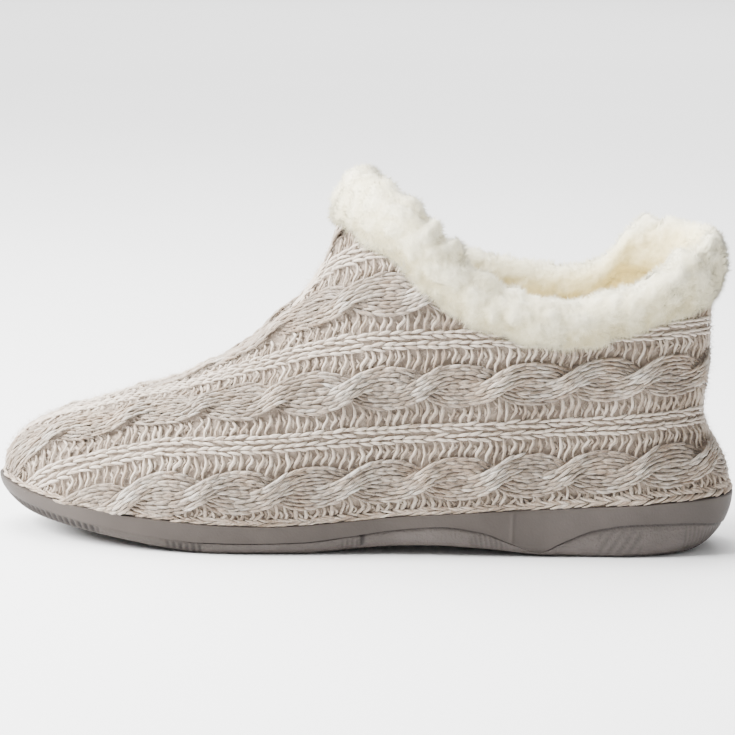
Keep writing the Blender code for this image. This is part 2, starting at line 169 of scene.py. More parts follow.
# The braid along the sole, and the rows that close the knit at the tip of the toe. Columns: start and end of
# the legs above the sole, reach from the toe as a share of the foot's length. Sizes go by the same share.
CHAIN_ROWS = (
    (0.35, 1.5, 1.0),
    (2.7, 1.5, 1.0),
    (3.4, 5.6, 0.012),
    (7.8, 5.6, 0.012),
    (8.0, 10.2, 0.009),
    (12.4, 10.2, 0.009),
)
CHAIN_SIZE_ROWS = ((0.0, 0.6), (0.10, 0.65), (0.20, 0.85), (0.70, 0.85), (0.90, 1.45), (1.0, 1.45))
CHAIN_LOOPS, LOOP_RINGS, CHAIN_LEG = 280, 6, 0.48
SEAM_START, SEAM_PITCH, SEAM_LOOP, SEAM_LEG = 2.5, 2.1, 2.9, 0.50
FUZZ_COUNT, FUZZ_WIDTH = 34000, 0.09
# The yarn's two plies: how often they turn round each other along a leg, and how far their tones differ.
PLY_TURNS, PLY_TONE = 0.8, 0.9
# How far the bands lie below their even places, along the knit from the toe to the back seam: they run off
# the sole's edge at the toe.
BAND_SHIFT_COLUMNS = ("travel", "shift")
BAND_SHIFT_ROWS = (
    (-127.0, 46.0),
    (-120.0, 33.5),
    (-114.0, 26.0),
    (-106.0, 19.6),
    (-96.0, 14.0),
    (-84.0, 9.0),
    (-67.0, 4.0),
    (-41.0, 1.5),
    (-10.0, 0.2),
    (22.0, 1.0),
    (60.0, 1.3),
    (85.0, 1.2),
    (110.0, 0.5),
    (137.0, 0.0),
)
HEEL_AXIS, HEEL_TURN = -85.0, 33.0
CHART_STEP = 1.0
CHART_TOP = 130.0
BACKING = -0.7
LIP_FILL = 1.0
RIB_SWELL, CABLE_SWELL = 0.45, 1.3
LIP_FROM, LIP_RISE = -0.4, 2.4
WALL_COLUMNS, WALL_LEVELS, WALL_INNER_LEVELS = 400, 84, 6
CUFF_FADE, SEAT_FADE, EDGE_FADE = 3.0, 1.5, 6.0
# How much of its relief the knit keeps where it is drawn tight, and how far that reaches.
RIDGE_KEEPS, SEAM_KEEPS, TOE_KEEPS = 0.2, 0.25, 0.55
SEAM_REACH, TOE_REACH = 9.0, 30.0
# How far the yarn runs under the cuff and past the seam and the ridge, and how far it clears the sole.
CUFF_OVERLAP, SEAM_OVERLAP, RIDGE_OVERLAP = 5.0, 1.0, 0.4
CLEAR_HEIGHT, CLEAR_UP = 0.3, 0.4
# The knit fills out over the toe, and lies lower along the ridge of the instep.
RIDGE_SINK, RIDGE_REACH = 0.15, 9.0
INSTEP_SINK, INSTEP_AT, INSTEP_REACH, INSTEP_GIRTH = 1.7, 44.0, 26.0, 22.0
TOE_FILL, TOE_FILL_FROM, TOE_FILL_REACH = 1.4, 94.0, 22.0
TOE_FILL_LOW, TOE_FILL_RISE = 2.0, 8.0
KNIT_SEED = 5
WALE_RINGS, PURL_RINGS = 5, 7
YARN_SIDES, YARN_FLATNESS = 4, 1.12

# The cuff's cross-section, as in the solids. Columns: share of its drop or rise, distance out, fur.
CUFF_GAP = 0.6
CUFF_ROWS = (
    (1.00, CUFF_GAP, 0.0),
    (1.06, 3.4, 0.6),
    (0.78, 6.6, 1.0),
    (0.36, 7.8, 1.0),
    (-0.22, 7.2, 1.0),
    (-0.72, 4.4, 1.0),
    (-1.00, -0.6, 1.0),
    (-0.86, -6.2, 1.0),
    (-0.30, -10.0, 1.0),
    (0.40, -10.6, 1.0),
    (0.86, -8.8, 0.6),
    (1.00, -WALL - CUFF_GAP, 0.0),
    (0.50, -WALL - CUFF_GAP, 0.0),
    (-0.08, -WALL - CUFF_GAP, 0.0),
    (-0.08, CUFF_GAP, 0.0),
    (0.50, CUFF_GAP, 0.0),
)
FURRY_ROWS, CUFF_LEVELS, CUFF_COLUMNS, FRINGE_LEVELS = 12, 56, 400, 12
TUFT_BASE, TUFT_SOFTNESS, LOCK_SHARE = 1.9, 0.02, 0.4
# Noise on the fleece. Columns: height, size, seed.
TUFT_NOISE = ((2.8, 7.0, 3), (1.1, 3.2, 4))
EDGE_NOISE = ((1.3, 7.0, 7), (0.8, 3.0, 8))
LINING_NOISE = ((0.9, 6.0, 31), (0.5, 2.6, 32))
INSOLE_NOISE = ((0.4, 5.0, 51),)
# Tufts and hollows of the cuff that show in its outline. Columns: place along the foot, side, row of the
# cross-section, radius, height.
CUFF_TUFTS = (
    (6.0, 1, 6.0, 6.0, 1.2),
    (-3.0, 1, 5.6, 6.0, 1.4),
    (-13.0, 1, 5.8, 5.0, 1.3),
    (-18.6, 1, 5.8, 3.5, -2.6),
    (-21.6, 1, 5.8, 4.0, 1.6),
    (-25.2, 1, 5.8, 3.5, -2.2),
    (-29.2, 1, 5.8, 5.5, 3.6),
    (-34.0, 1, 5.8, 3.5, -0.8),
    (-40.0, 1, 5.8, 7.5, 2.6),
    (-72.0, 1, 5.8, 12.0, -1.6),
    (-90.0, 1, 5.8, 12.0, -1.8),
    (-36.0, -1, 5.8, 9.0, -1.0),
    (-69.0, -1, 5.8, 4.0, -2.5),
    (-80.0, -1, 5.8, 4.5, 1.6),
    (-89.5, -1, 5.8, 5.5, -6.0),
    (-96.5, -1, 5.8, 5.0, 3.0),
    (-118.0, 1, 5.2, 14.0, -3.0),
    (-118.0, -1, 5.2, 14.0, -3.0),
    (-132.0, 1, 5.4, 16.0, -2.4),
    (-121.0, 1, 1.2, 12.0, -2.0),
    (-121.0, -1, 1.2, 12.0, -2.0),
)
# The cuff's lower edge hangs deepest on the outer side, behind the ankle, and is drawn up at the front.
LOW_SAG, LOW_SAG_AT, LOW_SAG_REACH = 3.0, -77.0, 20.0
FRONT_RISE, FRONT_RISE_AT, FRONT_RISE_REACH = 3.2, 6.0, 13.0
# How far the fleece is lit as a smooth roll rather than tuft by tuft.
FUR_SOFTNESS = 0.5
UPPER_COLUMNS = 96
LOCK_COUNT, LOCK_RADIUS, LOCK_HEIGHT, LOCK_SEED = 260, 6.0, 2.4, 11

# Hairs. Columns: count, least and most length, width, seed, how far they are combed to the first row.
HAIR_ROWS = {
    "cuff_hairs": (50000, 1.2, 2.8, 0.19, 21, 0.0),
    "cuff_fringe": (8000, 1.5, 3.6, 0.18, 22, 1.1),
    "lining_hairs": (12000, 1.2, 2.6, 0.28, 41, 0.0),
    "insole_hairs": (7000, 1.2, 2.4, 0.34, 61, 0.0),
}
LINING_COLUMNS, LINING_LEVELS = 200, 40
HAIR_STAND, HAIR_FLOW, HAIR_LOOSE, FLOW_SIZE = 0.8, 1.3, 0.32, 6.0
LINING_START, LINING_TOP, LINING_GAP, LINING_LUMP = 1.0, 2.0, 0.3, 1.6
# The insole's edge, as inset and height, and the rings across its top.
INSOLE_EDGE_ROWS = ((0.0, 0.0), (0.0, 3.0), (0.7, 4.3), (2.0, 5.0))
INSOLE_LEVELS = 16

# Colours, and the tints that multiply them where a piece's own value of that name is 1.
YARN_STOPS = (
    (0.30, (0.185, 0.133, 0.093)),
    (0.52, (0.288, 0.219, 0.162)),
    (0.72, (0.405, 0.329, 0.258)),
    (0.95, (0.565, 0.491, 0.411)),
)
COOL_TINT = (0.90, 0.965, 1.03)
# The knit's ground is painted darker than the yarn, as the shade between its strands, and darker still in the
# gaps between its bumps: painted shade.
BACKING_SHADE_STOPS = ((0.15, (0.316, 0.256, 0.204)), (0.60, (0.186, 0.147, 0.116)))
RUBBER_STOPS = ((0.3, (0.044, 0.0357, 0.0303)), (0.7, (0.055, 0.0450, 0.0386)))
# The rubber's first tint is painted shade, in its groove, its notch and between its fine ribs. The second is
# painted light, paler on its pods and towards the heel.
RUBBER_TINTS = {"groove": (0.35, 0.35, 0.36), "pale": (2.0, 2.1, 2.26)}
# The fleece's first tint is its own cream colour, inside the slipper, and in the cuff it is also painted warm
# shade along the low edge and in the hollows. The second tint is painted shade along the cuff's low edge and
# in its hollows.
FLEECE_TINTS = {"cream_and_shade": (1.14, 1.07, 0.85), "painted_shade": (0.47, 0.45, 0.375)}
CLOTH_CREAM, HAIR_CREAM = 0.8, 0.75

# The camera, fitted to the photograph's outline.
VIEW_RISE, VIEW_ROLL = 8.5, -1.5
VIEW_DISTANCE = 1300.0
VIEW_TARGET = (0.35, 0.0, 59.2)
VIEW_WIDTH = 258.35
SENSOR_WIDTH = 36.0
# The lights, in metres. Columns: name, place, target, size, power.
LIGHT_ROWS = (
    ("key", (0.96, 0.23, 0.73), (0.0, 0.0, 0.05), 0.7, 77.0),
    ("top", (0.45, -0.3, 1.3), (0.0, 0.0, 0.05), 1.2, 52.0),
    ("backdrop", (0.0, -3.2, 2.6), (0.0, -3.0, 0.0), 3.0, 230.0),
)
WORLD_STRENGTH = 0.67
FLOOR_HALF = 8.0


def smooth_curve(rows, column):
    """A smooth curve with no overshoot through one column of a table, against the table's first column."""
    xs = np.array([row[0] for row in rows])
    ys = np.array([row[column] for row in rows])
    steps = np.diff(xs)
    slopes = np.diff(ys) / steps
    product = slopes[:-1] * slopes[1:]
    total = np.where(product > 0, slopes[:-1] + slopes[1:], 1.0)
    inner = np.where(product > 0, 2 * product / total, 0.0)
    tangents = np.concatenate([slopes[:1], inner, slopes[-1:]])

    def value(x):
        x = np.clip(np.asarray(x, float), xs[0], xs[-1])
        i = np.clip(np.searchsorted(xs, x) - 1, 0, len(steps) - 1)
        t = (x - xs[i]) / steps[i]
        rise = (3 - 2 * t) * t * t
        bend = steps[i] * t * (1 - t) * (tangents[i] * (1 - t) - tangents[i + 1] * t)
        return ys[i] * (1 - rise) + ys[i + 1] * rise + bend

    return value


def curves(columns, rows):
    """The smooth curve of each named column."""
    return {name: smooth_curve(rows, i) for i, name in enumerate(columns) if i > 0}


LAST = curves(LAST_COLUMNS, LAST_ROWS)
COLLAR = curves(COLLAR_COLUMNS, COLLAR_ROWS)
SOLE = curves(SOLE_COLUMNS, SOLE_ROWS)
BAND_SHIFT = curves(BAND_SHIFT_COLUMNS, BAND_SHIFT_ROWS)
LAST_TOP = LAST_ROWS[-1][0]


def smooth_step(value):
    """0 below 0, 1 above 1, and smooth between."""
    t = np.clip(value, 0.0, 1.0)
    return t * t * (3 - 2 * t)


def unit(vectors):
    """Vectors of length 1 in the same directions."""
    return vectors / np.maximum(np.linalg.norm(vectors, axis=-1, keepdims=True), 1e-9)


def bell(value, centre, reach):
    """1 at the centre, and falling away to both sides."""
    return np.exp(-(((value - centre) / reach) ** 2))


def hump(part):
    """0 at both ends of a part from 0 to 1, and 1 in its middle."""
    return np.sin(np.pi * part)


def stray(rng, reach, shape):
    """Random amounts, as often up as down."""
    return rng.uniform(-reach, reach, shape)


def between(grid, row, column, beside, s, t):
    """A grid's values between its points: s of the way to the next row, t of the way to the column beside."""
    low = grid[row, column] * (1 - t) + grid[row, beside] * t
    high = grid[row + 1, column] * (1 - t) + grid[row + 1, beside] * t
    return low * (1 - s) + high * s


def share_of(angle):
    """How far along its section from the toe a point is, from its angle round the section."""
    return (1 - np.cos(angle)) / 2


def side_of(angle):
    """1 on the outer side of the foot and -1 on the inner side."""
    return np.where(np.sin(angle) >= 0, 1.0, -1.0)


def half_width(share, height):
    """Half the width of the last at a share of its section and a height."""
    ball, waist, heel = (LAST[name](height) for name in ("ball", "waist", "heel"))
    to_waist = smooth_step((share - BALL_SHARE) / (WAIST_SHARE - BALL_SHARE))
    to_heel = smooth_step((share - WAIST_SHARE) / (HEEL_SHARE - WAIST_SHARE))
    body = ball + (waist - ball) * to_waist + (heel - waist) * to_heel
    toe = 1 - np.clip(share / BALL_SHARE, 0, 1)
    back = np.clip((share - HEEL_SHARE) / (1 - HEEL_SHARE), 0, 1)
    toe_round = np.clip(1 - toe**2, 0, 1) ** (1 / TOE_ROUNDNESS)
    back_round = np.clip(1 - back**2, 0, 1) ** (1 / HEEL_ROUNDNESS)
    return body * toe_round * back_round


def centre_line(x, height):
    """How far the middle of the foot lies to the outer side."""
    toe = np.clip((x - TOE_BEND_FROM) / (LAST_ROWS[0][1] - TOE_BEND_FROM), 0, 1)
    low = 1 - smooth_step(height / ARCH_BEND_TOP)
    return SIDE_SHIFT - TOE_BEND * toe**2 + ARCH_BEND * bell(x, ARCH_BEND_AT, ARCH_BEND_REACH) * low


def last_point(angle, height):
    """Points on the outside of the plain wall."""
    share = share_of(angle)
    front, back = LAST["front"](height), LAST["back"](height)
    x = front - share * (front - back)
    y = centre_line(x, height) + side_of(angle) * half_width(share, height)
    return np.stack([x, y, height + SOLE["top"](x)], axis=-1)


def outward(angle, height):
    """Unit normals of the wall, pointing out."""
    turn, lift = 1e-3, 0.5
    along = last_point(angle + turn, height) - last_point(angle - turn, height)
    up = last_point(angle, height + lift) - last_point(angle, height - lift)
    return unit(np.cross(along, up))


def off_wall(angle, height, out):
    """Points of the plain wall, moved out along its normals."""
    return last_point(angle, height) + outward(angle, height) * np.asarray(out)[..., None]


def even_angles(count):
    """Angles of points spaced evenly round the edge of the sole, the same on both sides of the foot."""
    fine = np.linspace(0, math.pi, 800)
    points = last_point(fine, np.zeros_like(fine))
    length = np.concatenate([[0], np.cumsum(np.linalg.norm(np.diff(points, axis=0), axis=1))])
    half = np.interp(np.linspace(0, length[-1], count // 2 + 1), length, fine)
    return np.concatenate([half, FULL_TURN - half[-2:0:-1]])


def collar_height(angle):
    """The height of the knitted edge above the sole's edge."""
    share = share_of(angle)
    return np.where(side_of(angle) > 0, COLLAR["lateral"](share), COLLAR["medial"](share))


def ridge_height(x):
    """The height of the instep's ridge above the edge of the sole."""
    heights = np.linspace(0, LAST_TOP, 400)
    return np.interp(-x, -LAST["front"](heights), heights)


def toe_rise(height):
    """How far the toe's filling has grown at a height above the sole's edge, from 0 to 1."""
    return smooth_step((height - TOE_FILL_LOW) / TOE_FILL_RISE)


def ring_faces(rings, columns, wrap_rings):
    """The quads between neighbouring rings of points. With wrap_rings, the last ring joins the first."""
    row = np.arange(rings if wrap_rings else rings - 1)[:, None]
    i = np.arange(columns)[None]
    j = (i + 1) % columns
    low, high = row * columns, (row + 1) % rings * columns
    return np.stack([low + i, low + j, high + j, high + i], axis=-1).reshape(-1, 4)


def cap_faces(first, columns):
    """Faces across a ring, from each point of the outer side to its partner on the inner side."""
    i = np.arange(1, columns // 2 - 1)
    quads = np.stack([first + i, first + i + 1, first + columns - i - 1, first + columns - i], axis=-1)
    heel = first + columns // 2
    ends = np.array([[first, first + 1, first + columns - 1], [heel - 1, heel, heel + 1]])
    return quads, ends


def closed_faces(rings, columns):
    """The faces of a stack of rings of points, with caps across the first and the last."""
    faces = [ring_faces(rings, columns, False)]
    for first in (0, (rings - 1) * columns):
        faces += cap_faces(first, columns)
    return faces


def new_object(name, data):
    """An object in the scene."""
    item = bpy.data.objects.new(name, data)
    bpy.context.scene.collection.objects.link(item)
    return item


def new_piece(name, points, faces, material, attributes=None):
    """A smooth mesh piece on the slipper's body, from points in millimetres."""
    mesh = bpy.data.meshes.new(name)
    lists = [group.tolist() for group in faces]
    mesh.from_pydata((points * MM).tolist(), [], sum(lists, []))
    mesh.shade_smooth()
    for key, values in (attributes or {}).items():
        layer = mesh.attributes.new(key, "FLOAT", "POINT")
        layer.data.foreach_set("value", np.ascontiguousarray(values, dtype=np.float32))
    mesh.materials.append(material)
    piece = new_object(name, mesh)
    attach(piece, "root")
    return piece


def value_noise(points, size, seed):
    """Smooth noise from -1 to 1 that changes over about one size, at points in millimetres."""
    rng = np.random.default_rng(seed)
    lattice = rng.uniform(-1, 1, (32, 32, 32))
    place = points / size
    base = np.floor(place).astype(int)
    part = smooth_step(place - base)
    total = np.zeros(len(points))
    for corner in range(8):
        step = np.array([corner & 1, corner >> 1 & 1, corner >> 2 & 1])
        weight = np.prod(np.where(step, part, 1 - part), axis=1)
        at = (base + step) % 32
        total += weight * lattice[at[:, 0], at[:, 1], at[:, 2]]
    return total


def layered_noise(points, rows):
    """Noise of several sizes, one on the other."""
    return sum(height * value_noise(points, size, seed) for height, size, seed in rows)


class KnitChart:
    """The knit of one side laid flat: travel runs from the toe to the back seam and up from the sole's edge.
    Past the ridge of the foot, places lie on the other side."""

    def __init__(self, side):
        self.travels = np.arange(-126.0, -HEEL_AXIS + HEEL_TURN * math.pi / 2, CHART_STEP)
        self.ups = np.arange(0.0, CHART_TOP, CHART_STEP)
        x = -self.travels
        self.has_ridge = x > LAST["front"](LAST_TOP)
        top = np.where(self.has_ridge, ridge_height(x), LAST_TOP)
        part = 1 - (1 - np.linspace(0, 1, 160)) ** 2
        height = top[:, None] * part[None]
        angle = self.section_angles(height)
        points = last_point(angle, height)
        steps = np.linalg.norm(np.diff(points, axis=1), axis=2)
        girth = np.concatenate([np.zeros((len(x), 1)), np.cumsum(steps, axis=1)], axis=1)
        up = girth + BAND_SHIFT["shift"](self.travels)[:, None]
        self.low, self.high = up[:, 0], up[:, -1]
        self.section_height, self.section_up = height, up
        grid_height, grid_angle = [], []
        for i in range(len(x)):
            past = self.has_ridge[i] & (self.ups > self.high[i])
            place = np.where(past, 2 * self.high[i] - self.ups, self.ups)
            grid_height.append(np.interp(place, up[i], height[i]))
            turn = np.interp(place, up[i], angle[i])
            grid_angle.append(np.where(past, FULL_TURN - turn, turn))
        self.height = np.array(grid_height)
        self.angle = np.array(grid_angle)
        if side < 0:
            self.angle = FULL_TURN - self.angle
        self.points = last_point(self.angle, self.height)
        self.normals = outward(self.angle, self.height)

    def section_angles(self, height):
        """Angles round the last where the section at each travel meets each height."""
        x = -self.travels[:, None]
        front, back = LAST["front"](height), LAST["back"](height)
        angle = np.arccos(1 - 2 * np.clip((front - x) / (front - back), 0, 1))
        heel = self.travels > -HEEL_AXIS
        fine = np.linspace(math.pi / 2, math.pi, 400)
        for k in range(height.shape[1]):
            level = np.full_like(fine, height[-1, k])
            around = last_point(fine, level)
            away = around[:, 1] - centre_line(around[:, 0], level)
            turn = np.arctan2(HEEL_AXIS - around[:, 0], np.maximum(away, 1e-6))
            angle[heel, k] = np.interp(self.travels[heel], -HEEL_AXIS + HEEL_TURN * turn, fine)
        return angle

    def weights(self, travel, up):
        """The grid cell of each place, and how far into it the place lies."""
        a = np.clip((travel - self.travels[0]) / CHART_STEP, 0, len(self.travels) - 1.001)
        b = np.clip(up / CHART_STEP, 0, len(self.ups) - 1.001)
        i, j = a.astype(int), b.astype(int)
        return i, j, a - i, b - j

    def look_up(self, grid, travel, up):
        """A grid's values between its points."""
        i, j, s, t = self.weights(travel, up)
        if grid.ndim == 3:
            s, t = s[..., None], t[..., None]
        return between(grid, i, j, j + 1, s, t)

    def unfold(self, points, height):
        """The travel and the distance up of points on the wall."""
        away = np.abs(points[:, 1] - centre_line(points[:, 0], height))
        turn = np.arctan2(HEEL_AXIS - points[:, 0], np.maximum(away, 1e-6))
        travel = np.where(points[:, 0] >= HEEL_AXIS, -points[:, 0], -HEEL_AXIS + HEEL_TURN * turn)
        nearest = np.rint((travel - self.travels[0]) / CHART_STEP)
        column = np.clip(nearest, 0, len(self.travels) - 1).astype(int)
        up = np.zeros(len(points))
        for i in np.unique(column):
            here = column == i
            up[here] = np.interp(height[here], self.section_height[i], self.section_up[i])
        return travel, up

    def ridge_place(self, travel, beyond=20.0):
        """How far up the ridge lies. Where there is none, it counts as lying beyond the chart."""
        return np.interp(travel, self.travels, np.where(self.has_ridge, self.high, CHART_TOP + beyond))

    def flatness(self, travel, up):
        """How much of its relief the knit keeps: less where it is drawn tight at ridge, seam and toe."""
        off_ridge = smooth_step(np.abs(self.ridge_place(travel) - up) / RIDGE_REACH)
        off_seam = smooth_step((self.travels[-1] - travel) / SEAM_REACH)
        off_toe = smooth_step((travel - self.travels[0]) / TOE_REACH)
        kept = 1.0
        for least, away in ((RIDGE_KEEPS, off_ridge), (SEAM_KEEPS, off_seam), (TOE_KEEPS, off_toe)):
            kept = kept * (least + (1 - least) * away)
        return kept

    def sink(self, travel, up):
        """How far the yarn sinks into its backing at the ridge."""
        return RIDGE_SINK * (1 - smooth_step(np.abs(self.ridge_place(travel) - up) / RIDGE_REACH))

    def settle(self, travel, up):
        """How far yarn and backing together stand out over the toe, or lie lower along the instep's ridge."""
        low = np.interp(travel, self.travels, self.low)
        at_ridge = 1 - smooth_step(np.abs(self.ridge_place(travel, 40.0) - up) / INSTEP_GIRTH)
        toe = smooth_step((-travel - TOE_FILL_FROM) / TOE_FILL_REACH) * toe_rise(up - low)
        return TOE_FILL * toe - INSTEP_SINK * bell(travel, -INSTEP_AT, INSTEP_REACH) * at_ridge

    def above_sole(self, travel, up):
        """Whether places are above the sole's edge."""
        low = np.interp(travel, self.travels, self.low)
        return (self.look_up(self.height, travel, up) > CLEAR_HEIGHT) & (up > low + CLEAR_UP)

    def below_cuff(self, travel, up):
        """Whether places are on this side's knit: below the cuff, short of the ridge and between its ends."""
        height = self.look_up(self.height, travel, up)
        angle = self.angle[self.weights(travel, up)[:2]]
        under_cuff = collar_height(angle) - COLLAR["drop"](share_of(angle)) + CUFF_OVERLAP
        inside = (travel > self.travels[0]) & (travel < self.travels[-1] + SEAM_OVERLAP)
        return inside & (up < self.ridge_place(travel, 0.0) + RIDGE_OVERLAP) & (height < under_cuff)


def tubes(centres, normals, radius, width):
    """Closed tapering tubes along centre lines, as points and faces. Width is their flatness."""
    count, rings = radius.shape
    tangent = unit(np.gradient(centres, axis=1))
    across = unit(np.cross(tangent, normals))
    rise = np.cross(across, tangent)
    turn = (np.arange(YARN_SIDES) / YARN_SIDES * FULL_TURN)[None, None, :, None]
    spread = width * np.cos(turn) * across[:, :, None] + np.sin(turn) * rise[:, :, None]
    body = (centres[:, :, None] + radius[..., None, None] * spread).reshape(count, -1, 3)
    both = [0, -1]
    inwards = tangent[:, both] * np.array([1, -1])[None, :, None]
    ends = centres[:, both] - inwards * radius[:, both, None]
    points = np.concatenate([body, ends], axis=1)
    size = rings * YARN_SIDES + 2
    quads = ring_faces(rings, YARN_SIDES, wrap_rings=False)
    i = np.arange(YARN_SIDES)
    j = (i + 1) % YARN_SIDES
    last = (rings - 1) * YARN_SIDES
    start_cap = np.stack([np.full_like(i, size - 2), j, i], axis=-1)
    end_cap = np.stack([np.full_like(i, size - 1), last + i, last + j], axis=-1)
    shift = np.arange(count)[:, None, None] * size
    all_quads = (quads[None] + shift).reshape(-1, 4)
    all_caps = (np.concatenate([start_cap, end_cap])[None] + shift).reshape(-1, 3)
    return points.reshape(-1, 3), [all_quads, all_caps]


class YarnGroup:
    """Many short yarns on one chart, gathered and then made into one mesh."""

    def __init__(self, rings):
        self.part = np.linspace(0, 1, rings)
        self.rows = []

    def add(self, travel, up, lift, radius, tone, end_shade, cool=0.0):
        """Arrays of one row for each yarn and one column for each ring. Each yarn is painted darker towards
        its ends, as painted shade where it passes under its neighbours, and lighter in its middle, as a
        painted highlight.
        """
        shade = tone[:, None] + end_shade * (hump(self.part)[None] - END_SHADE_MIDDLE)
        self.rows.append(np.broadcast_arrays(travel, up, lift, radius, shade, cool))

    def build(self, chart):
        """The yarns that show: their centre lines, normals, radii, tones and coolness."""
        columns = [np.concatenate(column) for column in zip(*self.rows)]
        travel, up = columns[:2]
        middle = len(self.part) // 2
        kept = chart.below_cuff(travel[:, middle], up[:, middle])
        kept &= np.any([chart.above_sole(travel[:, i], up[:, i]) for i in (0, middle, -1)], axis=0)
        travel, up, lift, radius, tone, cool = (column[kept] for column in columns)
        normals = unit(chart.look_up(chart.normals, travel, up))
        lift = lift * chart.flatness(travel, up) - chart.sink(travel, up) + chart.settle(travel, up)
        centres = chart.look_up(chart.points, travel, up) + normals * lift[..., None]
        return centres, normals, radius, tone, cool


def leg_radius(part, size):
    """A stitch leg is thin where it comes out, full in its middle, and thin where it goes under."""
    return size * (LEG_THIN + (1 - LEG_THIN) * hump(0.05 + 0.9 * part))


def cable_path(travel):
    """The swing of a cable's first strand, from -1 to 1, and how far it passes over the other."""
    phase = math.pi * (travel - CROSSING_AT) / CROSSING
    swing = np.tanh(SWING_SHARPNESS * np.sin(phase)) / math.tanh(SWING_SHARPNESS)
    over = np.cos(phase) * (1 - swing**2)
    return swing, over


def strand_lift(over):
    """How far a strand stands out where it passes over the other, or sinks where it passes under."""
    return np.where(over > 0, CABLE_OVER, CABLE_UNDER) * over


def wale_legs(group, rng, place, wale, leg, strand, centre):
    """The legs of one side of a wale's stitches, straight in a rib and along a strand in a cable."""
    part = group.part[None]
    shape = (len(place), 1)
    length, size, base_lift, off, least, most = CABLE_LEG if strand else RIB_LEG
    travel = place[:, None] + stray(rng, 0.4, shape) + length * (part - 0.5)
    slant = leg * off + leg * rng.uniform(least, most, shape) * part
    up = centre + wale + slant + stray(rng, 0.25, shape)
    bow = hump(part) * LEG_BOW - LEG_SINK
    lift = base_lift + bow + stray(rng, 0.15, shape)
    radius = leg_radius(part, size * rng.uniform(0.8, 1.15, shape))
    tone = rng.normal(RIB_TONE, TONE_SPREAD, len(place))
    cool = 0.0
    if strand:
        swing, over = cable_path(travel)
        up = up + strand * CABLE_SWING * swing
        lift = lift + strand_lift(strand * over) + CABLE_DOME * (1 - (wale / CABLE_DOME_HALF) ** 2)
        # Painted highlight on the strand that passes over, and painted shade on the one that passes under.
        tone = tone + CABLE_TONE + OVER_LIGHT_UNDER_SHADE * strand * over[:, over.shape[1] // 2]
        cool = 1.0
    group.add(travel, up, lift, radius, tone, LEG_END_SHADE, cool)


def make_wales(group, rng, ends):
    """All ribs and cables of one side."""
    places = np.arange(ends[0], ends[1], COURSE)
    for centre in np.arange(FIRST_CABLE, CHART_TOP, BAND_REPEAT):
        for strand, wales in ((1, CABLE_WALES), (-1, CABLE_WALES), (0, RIB_WALES)):
            middle = centre if strand else centre + BAND_REPEAT / 2
            for i, wale in enumerate(wales):
                for leg in (1, -1):
                    wale_legs(group, rng, places + COURSE * 0.5 * (i % 2), wale, leg, strand, middle)


def cable_edge(travel):
    """How far a cable reaches from its middle: wide where its strands lie apart, narrow where they cross."""
    return CABLE_SWING * np.abs(cable_path(travel)[0]) + CABLE_HALF


def make_purl(group, rng, chart):
    """The purl between the bands: kinked strands that run up across each gap, with short branches. At the
    sole they start from its edge."""
    part = group.part[None]
    rib_edge = BAND_REPEAT / 2 - RIB_HALF + PURL_TUCK
    even = np.arange(chart.travels[0], chart.travels[-1], PURL_PITCH)
    for centre in np.arange(FIRST_CABLE, CHART_TOP, BAND_REPEAT):
        for side in (-1, 1):
            for offset, first, length, lean, size, height, shade, is_long in PURL_ROWS:
                place = even + stray(rng, 0.6, len(even)) + offset * PURL_PITCH
                lowest = np.interp(place, chart.travels, chart.low)
                start = np.maximum(centre + side * (cable_edge(place) - PURL_TUCK), lowest)
                end = np.maximum(centre + side * rib_edge, lowest)
                kept = np.abs(end - start) > PURL_SHORTEST
                place, start, end = place[kept, None], start[kept, None], end[kept, None]
                shape = place.shape
                at = first + length * part + stray(rng, 0.12, shape) * (1 - is_long)
                kink = bell(part, rng.uniform(0.35, 0.65, shape), 0.22) - 0.4
                bend = rng.uniform(0.2, 1.5, shape) * kink + stray(rng, 0.5, shape) * (part - 0.5)
                snake = -side * rng.uniform(0.1, 1.0, shape) * np.sin(FULL_TURN * part) * is_long
                travel = place + bend + snake + lean * part
                up = start + (end - start) * at
                lift = height - LEG_SINK + PURL_BOW * hump(part)
                radius = size * rng.uniform(0.75, 1.2, shape) * (0.5 + 0.5 * hump(part))
                tone = rng.normal(shade, 1.0, len(place))
                group.add(travel, up, lift, radius, tone, PURL_END_SHADE)


def loop_row(angle, height, lift, radius, tone):
    """A row of yarn loops on the wall: centre lines, normals, radii, tones and coolness."""
    lift, radius, tone = (np.broadcast_to(value, height.shape) for value in (lift, radius, tone))
    return off_wall(angle, height, lift), outward(angle, height), radius, tone, np.zeros_like(tone)


def make_edge_chain(rng):
    """The braid of loops where the knit meets the sole, thin at the toe and full at the heel, and the rows of
    loops that close the knit at the tip of the toe."""
    all_angles = even_angles(CHAIN_LOOPS)[:, None]
    all_steps = np.gradient(all_angles, axis=0)
    part = np.linspace(0, 1, LOOP_RINGS)[None]
    rows = []
    for start, end, reach in CHAIN_ROWS:
        near = share_of(all_angles[:, 0]) <= reach
        angle, step = all_angles[near], all_steps[near]
        shape = angle.shape
        fuller = smooth_curve(CHAIN_SIZE_ROWS, 1)(share_of(angle))
        turn = angle + step * 2.2 * (part - 0.5) + step * stray(rng, 0.3, shape)
        height = (start + (end - start) * part) * fuller + rng.uniform(-0.25, 0.5, shape)
        lift = np.maximum(rng.uniform(0.5, 0.9, shape) + 0.9 * fuller - 0.4 * height, 0.3)
        lift = lift + 0.3 * hump(part) + TOE_FILL * (reach < 1) * toe_rise(height)
        radius = leg_radius(part, CHAIN_LEG * fuller**0.5 * rng.uniform(0.6, 1.25, shape))
        rows.append(loop_row(turn, height, lift, radius, rng.normal(-0.2, 1.2, shape)))
    return rows


